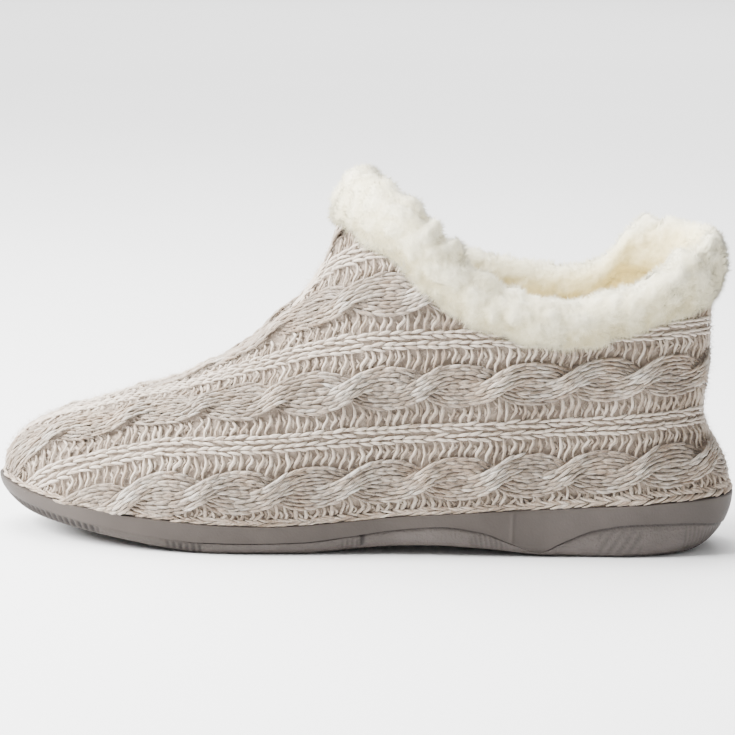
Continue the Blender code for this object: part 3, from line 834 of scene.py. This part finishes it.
def make_back_seam(rng):
    """The seam down the back of the heel, where the two halves of the knit are sewn together."""
    heights = np.arange(SEAM_START, collar_height(math.pi), SEAM_PITCH)[:, None]
    shape = heights.shape
    part = np.linspace(0, 1, LOOP_RINGS)[None]
    rows = []
    for side in (1, -1):
        height = heights + SEAM_LOOP * (part - 0.5) + stray(rng, 0.2, shape)
        off = 0.25 + 0.75 * part + stray(rng, 0.15, shape)
        lift = 0.15 + 0.55 * hump(part)
        tone = rng.normal(0.6, 0.7, shape)
        rows.append(loop_row(math.pi - side * seam_turn(off), height, lift, leg_radius(part, SEAM_LEG), tone))
    return rows


def seam_turn(off):
    """The angle round the last that lies a distance off the middle of its back."""
    fine = np.linspace(0, 0.4, 60)
    away = np.abs(last_point(math.pi - fine, np.full_like(fine, 30.0))[:, 1] - SIDE_SHIFT)
    return np.interp(off, away, fine)


def yarn_piece(name, groups, material):
    """One mesh of yarns from centre lines, normals, radii, tones and coolness. Their two plies differ."""
    centres, normals, radius, tone, cool = (np.concatenate(column) for column in zip(*groups))
    points, faces = tubes(centres, normals, radius, YARN_FLATNESS)
    count, rings = radius.shape
    turn = np.arange(YARN_SIDES) / YARN_SIDES * FULL_TURN
    twist = np.linspace(0, PLY_TURNS * FULL_TURN, rings)
    start = np.random.default_rng(count).uniform(0, FULL_TURN, (count, 1, 1))
    ply = PLY_TONE * np.cos(turn[None, None] + twist[None, :, None] + start)
    body = (tone[..., None] + ply).reshape(count, -1)
    tones = np.concatenate([body, tone[:, [0, -1]]], axis=1).ravel()
    cools = np.repeat(cool[:, :1], rings * YARN_SIDES + 2, axis=1).ravel()
    return new_piece(name, points, faces, material, {"tone": tones, "cool": cools})


def make_knit(material, wall_material):
    """The knit's yarns on both sides of the foot, and the wall behind them."""
    rng = np.random.default_rng(KNIT_SEED)
    for side, name in ((1, "outer"), (-1, "inner")):
        chart = KnitChart(side)
        ends = (chart.travels[0], chart.travels[-1])
        wales, purl = YarnGroup(WALE_RINGS), YarnGroup(PURL_RINGS)
        make_wales(wales, rng, ends)
        make_purl(purl, rng, chart)
        yarn_piece(f"wales_{name}", [wales.build(chart)], material)
        yarn_piece(f"purl_{name}", [purl.build(chart)], material)
        make_fuzz(f"fuzz_{name}", chart, rng, material)
    yarn_piece("edge_chain", make_edge_chain(rng), material)
    yarn_piece("back_seam", make_back_seam(rng), material)
    make_wall(wall_material, chart)


def make_fuzz(name, chart, rng, material):
    """Stray fibres that lie loose over the yarn."""
    travel = rng.uniform(chart.travels[0], chart.travels[-1], FUZZ_COUNT)
    up = rng.uniform(2.0, CHART_TOP, FUZZ_COUNT)
    kept = chart.above_sole(travel, up) & chart.below_cuff(travel, up)
    travel, up = travel[kept], up[kept]
    count = len(travel)
    normal = unit(chart.look_up(chart.normals, travel, up))
    rise = rng.uniform(0.6, 1.5, count) + chart.settle(travel, up)
    root = chart.look_up(chart.points, travel, up) + normal * rise[:, None]
    lean = unit(rng.normal(0, 1, (count, 3)) + normal * rng.uniform(-0.1, 0.7, (count, 1)))
    tip = root + lean * rng.uniform(1.0, 3.0, (count, 1))
    attributes = {"tone": rng.normal(0.8, 0.8, count), "cool": np.zeros(count)}
    spikes(name, root, tip, normal, FUZZ_WIDTH, material, attributes)


def spikes(name, root, tip, normal, width, material, attributes):
    """Three-sided hairs from root to tip, lit as the surface they grow on, and too fine to cast shadows."""
    count = len(root)
    lean = unit(tip - root)
    first = unit(np.cross(lean, normal + 0.01))
    second = np.cross(lean, first)
    corners = [tip]
    for turn in np.arange(3) / 3 * FULL_TURN:
        corners.append(root + width / 2 * (math.cos(turn) * first + math.sin(turn) * second))
    points = np.stack(corners, axis=1).reshape(-1, 3)
    faces = np.array([[0, 1, 2], [0, 2, 3], [0, 3, 1]])[None] + np.arange(count)[:, None, None] * 4
    spread = {key: np.repeat(values, 4) for key, values in attributes.items()}
    piece = new_piece(name, points, [faces.reshape(-1, 3)], material, spread)
    piece.data.normals_split_custom_set_from_vertices(np.repeat(normal, 4, axis=0))
    piece.visible_shadow = False
    piece.visible_diffuse = False


def backing_lift(travel, up):
    """How far the knit's ground stands out: it swells under the cables and the ribs."""
    place = (up - FIRST_CABLE + BAND_REPEAT / 2) % BAND_REPEAT - BAND_REPEAT / 2
    rib_place = np.abs(place) - BAND_REPEAT / 2
    swing, over = cable_path(travel)
    lift = RIB_SWELL * np.sqrt(np.clip(1 - (rib_place / (RIB_HALF + 0.2)) ** 2, 0, 1))
    for strand in (1, -1):
        offset = (place - strand * CABLE_SWING * swing) / CABLE_HALF
        dome = np.clip(1 - offset**2, 0, 1) ** 0.75
        lift = np.maximum(lift, dome * (CABLE_SWELL + strand_lift(strand * over)))
    return lift


def make_wall(material, chart):
    """The knit's backing and the lining's cloth: one hollow wall."""
    angle = even_angles(WALL_COLUMNS)
    edge = collar_height(angle)
    under_cuff = edge - COLLAR["drop"](share_of(angle))
    seat = GAP - SOLE_RECESS
    rings = []
    for step in np.linspace(0, 1, WALL_LEVELS):
        height = seat + (edge - seat) * step
        travel, up = chart.unfold(last_point(angle, height), height)
        swell = backing_lift(travel, up) * chart.flatness(travel, up)
        swell = swell * smooth_step((under_cuff - height) / CUFF_FADE)
        rise = smooth_step((height - LIP_FROM) / LIP_RISE)
        inset = (BACKING + swell + chart.settle(travel, up)) * rise + LIP_FILL * (1 - rise)
        inset = inset * smooth_step((height - seat) / SEAT_FADE) * smooth_step((edge - height) / EDGE_FADE)
        rings.append(off_wall(angle, height, inset))
    for step in np.linspace(1, 0, WALL_INNER_LEVELS):
        rings.append(off_wall(angle, seat + (edge - seat) * step, -WALL))
    faces = [ring_faces(len(rings), WALL_COLUMNS, True)]
    wall = new_piece("knit_wall", np.concatenate(rings), faces, material)
    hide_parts("upper")


def cuff_rings(count):
    """The cuff's rings of points before its locks, at the solids' own rows, and the ring inside the wall."""
    angle = even_angles(count)
    share = share_of(angle)
    edge = collar_height(angle)
    step = 0.5
    wall_up = (last_point(angle, edge) - last_point(angle, edge - step)) / step
    stretch = np.linalg.norm(wall_up, axis=1)
    rings = []
    for along, out, fur in CUFF_ROWS:
        down = along * np.where(along > 0, COLLAR["drop"](share), COLLAR["rise"](share))
        height = edge - np.maximum(down, 0) / stretch
        over = unit(wall_up) * np.maximum(-down, 0)[:, None]
        thick = out * np.where(fur > 0, COLLAR["bulge"](share), 1.0)
        rings.append(off_wall(angle, height, thick) + over)
    return np.array(rings), off_wall(angle, edge, -WALL / 2)


def lock_heights(points):
    """How far the locks lift points of the cuff: rounded tufts round the solids' own centres."""
    rng = np.random.default_rng(LOCK_SEED)
    coarse = cuff_rings(UPPER_COLUMNS)[0].reshape(-1, 3)
    centres = coarse[rng.choice(len(coarse), LOCK_COUNT, replace=False)]
    heights = LOCK_HEIGHT * rng.uniform(0.35, 1.0, LOCK_COUNT)
    lift = np.zeros(len(points))
    for centre, height in zip(centres, heights):
        distance = np.linalg.norm(points - centre, axis=1)
        lift = np.maximum(lift, height * np.sqrt(np.clip(1 - (distance / LOCK_RADIUS) ** 2, 0, 1)))
    return lift


def smooth_rows(rows, count):
    """More rings along a section: a smooth curve through the rows, first to last."""
    place = np.linspace(0, len(rows) - 1, count)
    i = np.clip(place.astype(int), 0, len(rows) - 2)
    t = (place - i)[:, None, None]
    before, start = rows[np.maximum(i - 1, 0)], rows[i]
    end, after = rows[i + 1], rows[np.minimum(i + 2, len(rows) - 1)]
    return (
        start
        + 0.5 * t * (end - before)
        + t * t * (before - 2.5 * start + 2 * end - 0.5 * after)
        + t * t * t * 0.5 * (3 * start - before - 3 * end + after)
    )


def tuft_heights(shown, place):
    """How far the listed tufts lift the points of the cuff's rings."""
    lift = np.zeros(shown.shape[:2])
    for x, side, row, radius, height in CUFF_TUFTS:
        ring = shown[np.argmin(np.abs(place - row))]
        off = np.abs(ring[:, 0] - x) + 100.0 * (np.sign(ring[:, 1]) != side)
        centre = ring[np.argmin(off)]
        distance = np.linalg.norm(shown - centre, axis=2)
        lift += height * np.clip(1 - (distance / radius) ** 2, 0, 1) ** 1.5
    return lift.ravel()


def make_cuff(material, hair_material):
    """The fleece cuff: a cloudy roll over the collar, and its hairs."""
    columns, levels = CUFF_COLUMNS, CUFF_LEVELS
    rows, core = cuff_rings(columns)
    shown = smooth_rows(rows[:FURRY_ROWS], levels)
    place = np.linspace(0, FURRY_ROWS - 1, levels)
    fur = np.interp(place, np.arange(FURRY_ROWS), [row[2] for row in CUFF_ROWS[:FURRY_ROWS]])
    points = shown.reshape(-1, 3)
    out = unit(points - np.tile(core, (levels, 1)))
    tufts = 0
    for height, size, seed in TUFT_NOISE:
        tufts = tufts + height * np.sqrt(value_noise(points, size, seed) ** 2 + TUFT_SOFTNESS)
    lift = LOCK_SHARE * lock_heights(points) + tufts - TUFT_BASE + tuft_heights(shown, place)
    points = points + out * (lift * np.repeat(fur, columns))[:, None]
    x = core[:, 0]
    wave = layered_noise(core, EDGE_NOISE)
    wave -= LOW_SAG * bell(x, LOW_SAG_AT, LOW_SAG_REACH) * (core[:, 1] > 0)
    wave += FRONT_RISE * bell(x, FRONT_RISE_AT, FRONT_RISE_REACH)
    points[:, 2] += np.tile(wave, levels) * np.repeat(1 - smooth_step(place / 3.0), columns)
    all_points = np.concatenate([points, rows[FURRY_ROWS:].reshape(-1, 3)])
    rings = levels + len(rows) - FURRY_ROWS
    at_heel = smooth_step((-35.0 - x) / 40.0)
    inside = smooth_step((place[:, None] - 8.4 + 1.8 * at_heel[None]) / 2.0).ravel()
    # Painted shade: the fleece is painted darker and warmer along the cuff's low edge and in the hollows
    # between its tufts. In the hollows the warmth is partly the fleece's own creamier roots. Inside the
    # collar the fleece is cream, its own colour.
    low = np.repeat(1 - smooth_step((place - 0.5) / 3.8), columns)
    hollow = 1 - smooth_step((tufts - 0.6) / 1.2)
    shares = {"cream_and_shade": 0.85 * inside + 0.3 * low + 0.3 * hollow, "painted_shade": low + 0.25 * hollow}
    shares = {key: np.clip(values, 0, 1) for key, values in shares.items()}
    hidden = np.ones((rings - levels) * columns)
    attributes = {key: np.concatenate([values, hidden]) for key, values in shares.items()}
    faces = [ring_faces(rings, columns, True)]
    cuff = new_piece("cuff_fleece", all_points, faces, material, attributes)
    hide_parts("cuff")
    grid = points.reshape(levels, columns, 3)
    soft = unit(FUR_SOFTNESS * grid_normals(shown) + (1 - FUR_SOFTNESS) * grid_normals(grid))
    edge_normals = grid_normals(rows)[FURRY_ROWS:]
    all_normals = np.concatenate([soft.reshape(-1, 3), edge_normals.reshape(-1, 3)])
    cuff.data.normals_split_custom_set_from_vertices(all_normals)
    colours = {key: values.reshape(levels, columns) for key, values in shares.items()}
    make_hairs("cuff_hairs", grid, hair_material, colours, soft)
    make_hairs("cuff_fringe", grid[:FRINGE_LEVELS], hair_material, colours, soft)


def grid_normals(grid):
    """Outward normals of a closed ring of rows of points."""
    around = np.roll(grid, -1, axis=1) - np.roll(grid, 1, axis=1)
    along = np.gradient(grid, axis=0)
    return unit(np.cross(around, along))


def make_hairs(name, grid, material, colours, shading):
    """Hairs that stand out of a grid of points, closed round its columns, and are lit by shading normals."""
    count, shortest, longest, width, seed, comb = HAIR_ROWS[name]
    rng = np.random.default_rng(seed)
    columns = grid.shape[1]
    around = np.linalg.norm(np.roll(grid, -1, axis=1) - grid, axis=2)[:-1]
    along = np.linalg.norm(np.diff(grid, axis=0), axis=2)
    area = (around * along).ravel()
    cell = rng.choice(len(area), count, p=area / area.sum())
    row, column = cell // columns, cell % columns
    s, t = rng.random((2, count, 1))

    def blend(values):
        return between(values, row, column, (column + 1) % columns, s, t)

    root, normal = blend(grid), unit(blend(grid_normals(grid)))
    down = unit(grid[row, column] - grid[row + 1, column])
    flow = np.stack([value_noise(root, FLOW_SIZE, seed + k) for k in (1, 2, 3)], axis=1)
    flow = flow - normal * np.sum(flow * normal, axis=1, keepdims=True)
    loose = rng.normal(0, HAIR_LOOSE, (count, 3))
    lean = unit(normal * HAIR_STAND + flow * HAIR_FLOW + loose + down * comb)
    tip = root + lean * rng.uniform(shortest, longest, (count, 1))
    attributes = {key: values[row, column] for key, values in colours.items()}
    spikes(name, root, tip, unit(blend(shading)), width, material, attributes)


def make_lining(material, hair_material):
    """The fleece lining inside the upper, from the insole to under the cuff."""
    columns, levels = LINING_COLUMNS, LINING_LEVELS
    angle = even_angles(columns)
    length = collar_height(angle) - LINING_TOP - LINING_START
    rows = []
    for step in np.linspace(0, 1, levels):
        rows.append(off_wall(angle, LINING_START + length * step, -(WALL + LINING_GAP)))
    grid = np.array(rows)
    inward = -grid_normals(grid)
    points = grid.reshape(-1, 3)
    lump = LINING_LUMP + layered_noise(points, LINING_NOISE)
    points = points + inward.reshape(-1, 3) * lump[:, None]
    cream_and_shade = {"cream_and_shade": np.full(len(points), CLOTH_CREAM)}
    new_piece("lining", points, [ring_faces(levels, columns, False)], material, cream_and_shade)
    shown = points.reshape(levels, columns, 3)[::-1]
    cream_and_shade = {"cream_and_shade": np.full((levels, columns), HAIR_CREAM)}
    make_hairs("lining_hairs", shown, hair_material, cream_and_shade, grid_normals(shown))


def make_insole(material, hair_material):
    """The insole's fleece top on its pad."""
    columns = LINING_COLUMNS
    angle = even_angles(columns)
    normal = plan_normal(angle)
    feather = last_point(angle, np.zeros_like(angle))
    seat = SOLE["top"](feather[:, 0]) - SOLE_RECESS + GAP
    middle = centre_line(feather[:, 0], np.zeros(columns))
    rings = []
    for inset, height in INSOLE_EDGE_ROWS:
        ring = feather - normal * (WALL + GAP + inset)
        ring[:, 2] = seat + height
        rings.append(ring)
    edge = rings[-1]
    for share in np.linspace(0.12, 0.98, INSOLE_LEVELS):
        ring = edge.copy()
        ring[:, 1] = edge[:, 1] + (middle - edge[:, 1]) * share
        ring[:, 2] = edge[:, 2] + layered_noise(ring, INSOLE_NOISE)
        rings.append(ring)
    faces = closed_faces(len(rings), columns)
    cream_and_shade = {"cream_and_shade": np.full(len(rings) * columns, CLOTH_CREAM)}
    pad = new_piece("insole_pad", np.concatenate(rings), faces, material, cream_and_shade)
    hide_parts("insole")
    top = np.array(rings[len(INSOLE_EDGE_ROWS) - 1:])
    cream_and_shade = {"cream_and_shade": np.full(top.shape[:2], HAIR_CREAM)}
    make_hairs("insole_hairs", top, hair_material, cream_and_shade, grid_normals(top))


def plan_normal(angle):
    """The outward direction of the sole's outline, level with the floor."""
    normal = outward(angle, np.full_like(angle, -1.0))
    normal[:, 2] = 0
    return unit(normal)


def edge_round(normal):
    """The radius under the sole's edge: larger at the back of the heel and at the toe."""
    back = np.clip(-normal[:, 0], 0, 1) ** 2
    toe = np.clip(normal[:, 0], 0, 1) ** 2
    return SIDE_ROUND + (HEEL_ROUND - SIDE_ROUND) * back + (TOE_ROUND - SIDE_ROUND) * toe


def make_sole(material):
    """The moulded sole, with its lip, groove lines, tread pods and fine ribs."""
    columns = SOLE_COLUMNS_ROUND
    angle = even_angles(columns)
    normal = plan_normal(angle)
    feather = last_point(angle, np.zeros_like(angle))
    outline = feather + normal * (SOLE_RIM + GAP)
    x = outline[:, 0]
    top = SOLE["top"](feather[:, 0])
    side = top - SOLE["bottom"](x)
    pod = SOLE["pod"](x)
    radius = edge_round(normal)
    behind_toe = smooth_step((GROOVE_FRONT + 10.0 - x) / 20.0)
    pod_depth = POD_STEP * smooth_step(pod / 0.3) * (1 - POD_END_FADE * normal[:, 0] ** 2)
    pod_depth = pod_depth * (0.3 + 0.7 * behind_toe)
    groove = GROOVE_DEPTH * smooth_step(pod / 0.2) * behind_toe
    notch = NOTCH_DEPTH * bell(x, NOTCH_AT, NOTCH_WIDTH)
    mould_line = MOULD_LINE_HEIGHT * bell(x, MOULD_LINE_AT, MOULD_LINE_WIDTH)
    index = np.arange(columns)

    def rib_depth(height):
        total = np.zeros(columns)
        for start, end, step, depth, lean in SOLE_RIBS:
            shown = smooth_step((x - start) / 1.5) * smooth_step((end - x) / 1.5)
            wave = 0.5 - 0.5 * np.cos((index / step + lean * height / 2.5) * FULL_TURN)
            total += depth * shown * wave
        return total

    def ring(share, recess):
        upright = np.minimum(radius, side)
        fall = 1 - np.clip(share * side / upright, 0, 1)
        inset = radius * (1 - np.sqrt(1 - fall**2)) + recess
        point = outline - normal * inset[:, None]
        bottom = SOLE["bottom"](point[:, 0])
        point[:, 2] = bottom + share * (top - bottom)
        return point

    rings, dark = [], []
    for part in POD_PARTS:
        fine = rib_depth(pod * part * side) * hump(np.clip(part / 0.95, 0, 1)) ** 0.5
        sunk = groove * smooth_step((part - 0.92) / 0.03) + notch * smooth_step((part - 0.2) / 0.2)
        rings.append(ring(pod * part, pod_depth + fine + sunk))
        # Painted shade: the rubber is painted darker where the fine ribs, the groove and the notch sink in.
        dark.append(np.clip(fine / 0.7 + sunk / 0.5, 0, 1))
    for part in BAND_PARTS:
        rings.append(ring(pod + (1 - pod) * part, -mould_line))
    for inset, drop in RIM_ROWS:
        rim = outline - normal * inset
        rim[:, 2] = top - drop
        rings.append(rim)
    faces = closed_faces(len(rings), columns)
    plain = np.zeros((len(rings) - len(POD_PARTS)) * columns)
    pods = np.concatenate([np.ones(len(POD_PARTS) * columns), plain])
    # Painted light: the rubber is painted paler on the pods and towards the heel.
    on_pods, *on_all = [share * smooth_step((start - x) / reach) for share, start, reach in PAINTED_LIGHT_ROWS]
    pale = pods * np.tile(on_pods, len(rings)) + np.tile(sum(on_all), len(rings))
    groove_shade = np.concatenate([*dark, plain])
    attributes = {"pod": pods, "groove": groove_shade, "pale": np.clip(pale, 0, 1)}
    sole = new_piece("moulded_sole", np.concatenate(rings), faces, material, attributes)
    sole.data.set_sharp_from_angle(angle=math.radians(50))
    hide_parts("sole")


def set_inputs(tree, node, inputs):
    """Give a node's inputs plain values, or link the outputs of other nodes to them."""
    for key, value in inputs.items():
        if isinstance(value, bpy.types.NodeSocket):
            tree.links.new(value, node.inputs[key])
        else:
            node.inputs[key].default_value = value


def new_material(name, colour, roughness, specular):
    """A material with one shader, and its node tree."""
    material = bpy.data.materials.new(name)
    material.use_nodes = True
    tree = material.node_tree
    shader = tree.nodes["Principled BSDF"]
    inputs = {"Base Color": (*colour, 1.0), "Roughness": roughness, "Specular IOR Level": specular}
    set_inputs(tree, shader, inputs)
    return material, tree, shader


def add_node(tree, kind, inputs, output, **settings):
    """The named output of a new shader node."""
    node = tree.nodes.new("ShaderNode" + kind)
    for key, value in settings.items():
        setattr(node, key, value)
    set_inputs(tree, node, inputs)
    return node.outputs[output]


def noise(tree, scale, detail):
    """Noise in the piece's own coordinates."""
    place = add_node(tree, "TexCoord", {}, "Object")
    return add_node(tree, "TexNoise", {"Vector": place, "Scale": scale, "Detail": detail}, "Fac")


def maths(tree, operation, *values):
    """The result of a sum, a product or the like."""
    return add_node(tree, "Math", dict(enumerate(values)), "Value", operation=operation)


def own_value(tree, key):
    """The piece's own value of a name, from point to point."""
    return add_node(tree, "Attribute", {}, "Fac", attribute_name=key)


def tinted(tree, colour, amount, tint):
    """A colour, multiplied by a tint where the amount is 1."""
    inputs = {"Factor": amount, "A": colour, "B": (*tint, 1.0)}
    return add_node(tree, "Mix", inputs, "Result", data_type="RGBA", blend_type="MULTIPLY")


def tinted_by_values(tree, colour, tints):
    """A colour with several tints, each where the piece's own value of that name is 1."""
    for key, tint in tints.items():
        colour = tinted(tree, colour, own_value(tree, key), tint)
    return colour


def bumped(tree, height, strength, distance):
    """The normal of a bumpy surface."""
    return add_node(tree, "Bump", {"Height": height, "Strength": strength, "Distance": distance}, "Normal")


def colour_ramp(tree, factor, stops):
    """Colours along a factor."""
    ramp = tree.nodes.new("ShaderNodeValToRGB")
    elements = ramp.color_ramp.elements
    while len(elements) < len(stops):
        elements.new(0.5)
    for element, (place, colour) in zip(elements, stops):
        element.position = place
        element.color = (*colour, 1.0)
    set_inputs(tree, ramp, {"Fac": factor})
    return ramp.outputs["Color"]


def yarn_material():
    """Marled yarn: each length of yarn has its own tone, with paler and darker fibres along it."""
    material, tree, shader = new_material("yarn", (0.6, 0.52, 0.45), 0.85, 0.2)
    fibre = noise(tree, 900.0, 4.0)
    grain = maths(tree, "MULTIPLY_ADD", fibre, 0.6, 0.2)
    spread = maths(tree, "MULTIPLY_ADD", own_value(tree, "tone"), 0.09, grain)
    mix = maths(tree, "MULTIPLY_ADD", noise(tree, 45.0, 2.0), 0.35, spread)
    patches = {"Value": noise(tree, 110.0, 2.0), "From Min": 0.33, "From Max": 0.54}
    cool = maths(tree, "MULTIPLY", own_value(tree, "cool"), add_node(tree, "MapRange", patches, "Result"))
    inputs = {
        "Base Color": tinted(tree, colour_ramp(tree, mix, YARN_STOPS), cool, COOL_TINT),
        "Sheen Weight": 0.25,
        "Sheen Roughness": 0.5,
        "Normal": bumped(tree, fibre, 0.5, 0.0004),
    }
    set_inputs(tree, shader, inputs)
    return material


def fleece_material(name, dark, light, scale):
    """Fibrous fleece, creamy inside the slipper, and painted darker and warmer where the cuff lies low and in
    its hollows: painted shade.
    """
    material, tree, shader = new_material(name, light, 0.95, 0.1)
    fibre = noise(tree, scale, 5.0)
    colour = colour_ramp(tree, fibre, ((0.35, dark), (0.65, light)))
    inputs = {
        "Base Color": tinted_by_values(tree, colour, FLEECE_TINTS),
        "Sheen Weight": 0.3,
        "Sheen Roughness": 0.6,
        "Normal": bumped(tree, fibre, 0.6, 0.0006),
    }
    set_inputs(tree, shader, inputs)
    return material


def backing_material():
    """The knit's ground between its strands: small purl bumps. Its colour is painted shade: darker than the
    yarn, as the shade between the strands, and darkest in the gaps between the bumps.
    """
    material, tree, shader = new_material("knit_backing_shade", (0.25, 0.2, 0.155), 0.95, 0.1)
    place = {"Vector": add_node(tree, "TexCoord", {}, "Object"), "Scale": 430.0}
    bumps = add_node(tree, "TexVoronoi", place, "Distance", feature="SMOOTH_F1")
    height = maths(tree, "SUBTRACT", 1.0, bumps)
    colour = colour_ramp(tree, bumps, BACKING_SHADE_STOPS)
    set_inputs(tree, shader, {"Base Color": colour, "Normal": bumped(tree, height, 0.8, 0.001)})
    return material


def rubber_material():
    """Matt moulded rubber: smooth on the upper band, and sandy on the tread pods, with painted shade in its
    groove and between its ribs and painted light on its pods and towards the heel.
    """
    material, tree, shader = new_material("moulded_rubber", (0.2, 0.18, 0.16), 0.6, 0.25)
    plain = colour_ramp(tree, noise(tree, 60.0, 4.0), RUBBER_STOPS)
    colour = tinted_by_values(tree, plain, RUBBER_TINTS)
    depth = maths(tree, "MULTIPLY_ADD", own_value(tree, "pod"), 0.8, 0.2)
    height = maths(tree, "MULTIPLY", depth, noise(tree, 1100.0, 2.0))
    set_inputs(tree, shader, {"Base Color": colour, "Normal": bumped(tree, height, 0.6, 0.0006)})
    return material


def floor_material():
    """A plain pale floor."""
    material, tree, shader = new_material("pale_floor", (0.88, 0.88, 0.88), 0.7, 0.5)
    stops = ((0.3, (0.87, 0.87, 0.87)), (0.7, (0.89, 0.89, 0.89)))
    set_inputs(tree, shader, {"Base Color": colour_ramp(tree, noise(tree, 3.0, 2.0), stops)})
    return material


def make_floor():
    """A large square floor under the slipper."""
    mesh = bpy.data.meshes.new("floor")
    corners = [(x * FLOOR_HALF, y * FLOOR_HALF, 0) for x, y in ((-1, -1), (1, -1), (1, 1), (-1, 1))]
    mesh.from_pydata(corners, [], [(0, 1, 2, 3)])
    mesh.materials.append(floor_material())
    floor = new_object("floor", mesh)


def basis_rotation(right, up):
    """The rotation that looks along right x up, for a camera or an area light."""
    back = np.cross(right, up)
    return Matrix(np.stack([right, up, back], axis=1).tolist()).to_euler()


def make_camera():
    """The camera at the photograph's angle, rolled as it is there."""
    rise, roll = math.radians(VIEW_RISE), math.radians(VIEW_ROLL)
    right = np.array([-1.0, 0.0, 0.0])
    forward = np.array([0.0, -math.cos(rise), -math.sin(rise)])
    up = np.cross(right, forward)
    data = bpy.data.cameras.new("camera")
    data.sensor_width = SENSOR_WIDTH
    data.lens = SENSOR_WIDTH * VIEW_DISTANCE / VIEW_WIDTH
    data.clip_end = 100.0
    camera = new_object("camera", data)
    camera.location = (np.array(VIEW_TARGET) - forward * VIEW_DISTANCE) * MM
    turned_right = right * math.cos(roll) - up * math.sin(roll)
    turned_up = right * math.sin(roll) + up * math.cos(roll)
    camera.rotation_euler = basis_rotation(turned_right, turned_up)
    bpy.context.scene.camera = camera


def make_lights():
    """The soft square lights, each facing its target."""
    for name, place, target, size, power in LIGHT_ROWS:
        data = bpy.data.lights.new(name, "AREA")
        data.shape = "SQUARE"
        data.size = size
        data.energy = power
        light = new_object(name, data)
        light.location = place
        back = unit(np.array(place) - np.array(target))
        right = unit(np.cross(np.array([0.0, 0.0, 1.0]), back))
        light.rotation_euler = basis_rotation(right, np.cross(back, right))


def make_world():
    """Even white light from all round."""
    world = bpy.data.worlds.new("studio")
    world.use_nodes = True
    background = world.node_tree.nodes["Background"]
    set_inputs(world.node_tree, background, {"Color": (1.0, 1.0, 1.0, 1.0), "Strength": WORLD_STRENGTH})
    bpy.context.scene.world = world


def main():
    make_camera()
    make_world()
    make_lights()
    make_floor()
    fleece = fleece_material("fleece", (0.71, 0.655, 0.455), (0.845, 0.79, 0.585), 500.0)
    fleece_hair = fleece_material("fleece_hair", (0.77, 0.715, 0.51), (0.885, 0.84, 0.64), 300.0)
    make_sole(rubber_material())
    make_knit(yarn_material(), backing_material())
    make_insole(fleece, fleece_hair)
    make_lining(fleece, fleece_hair)
    make_cuff(fleece, fleece_hair)


main()
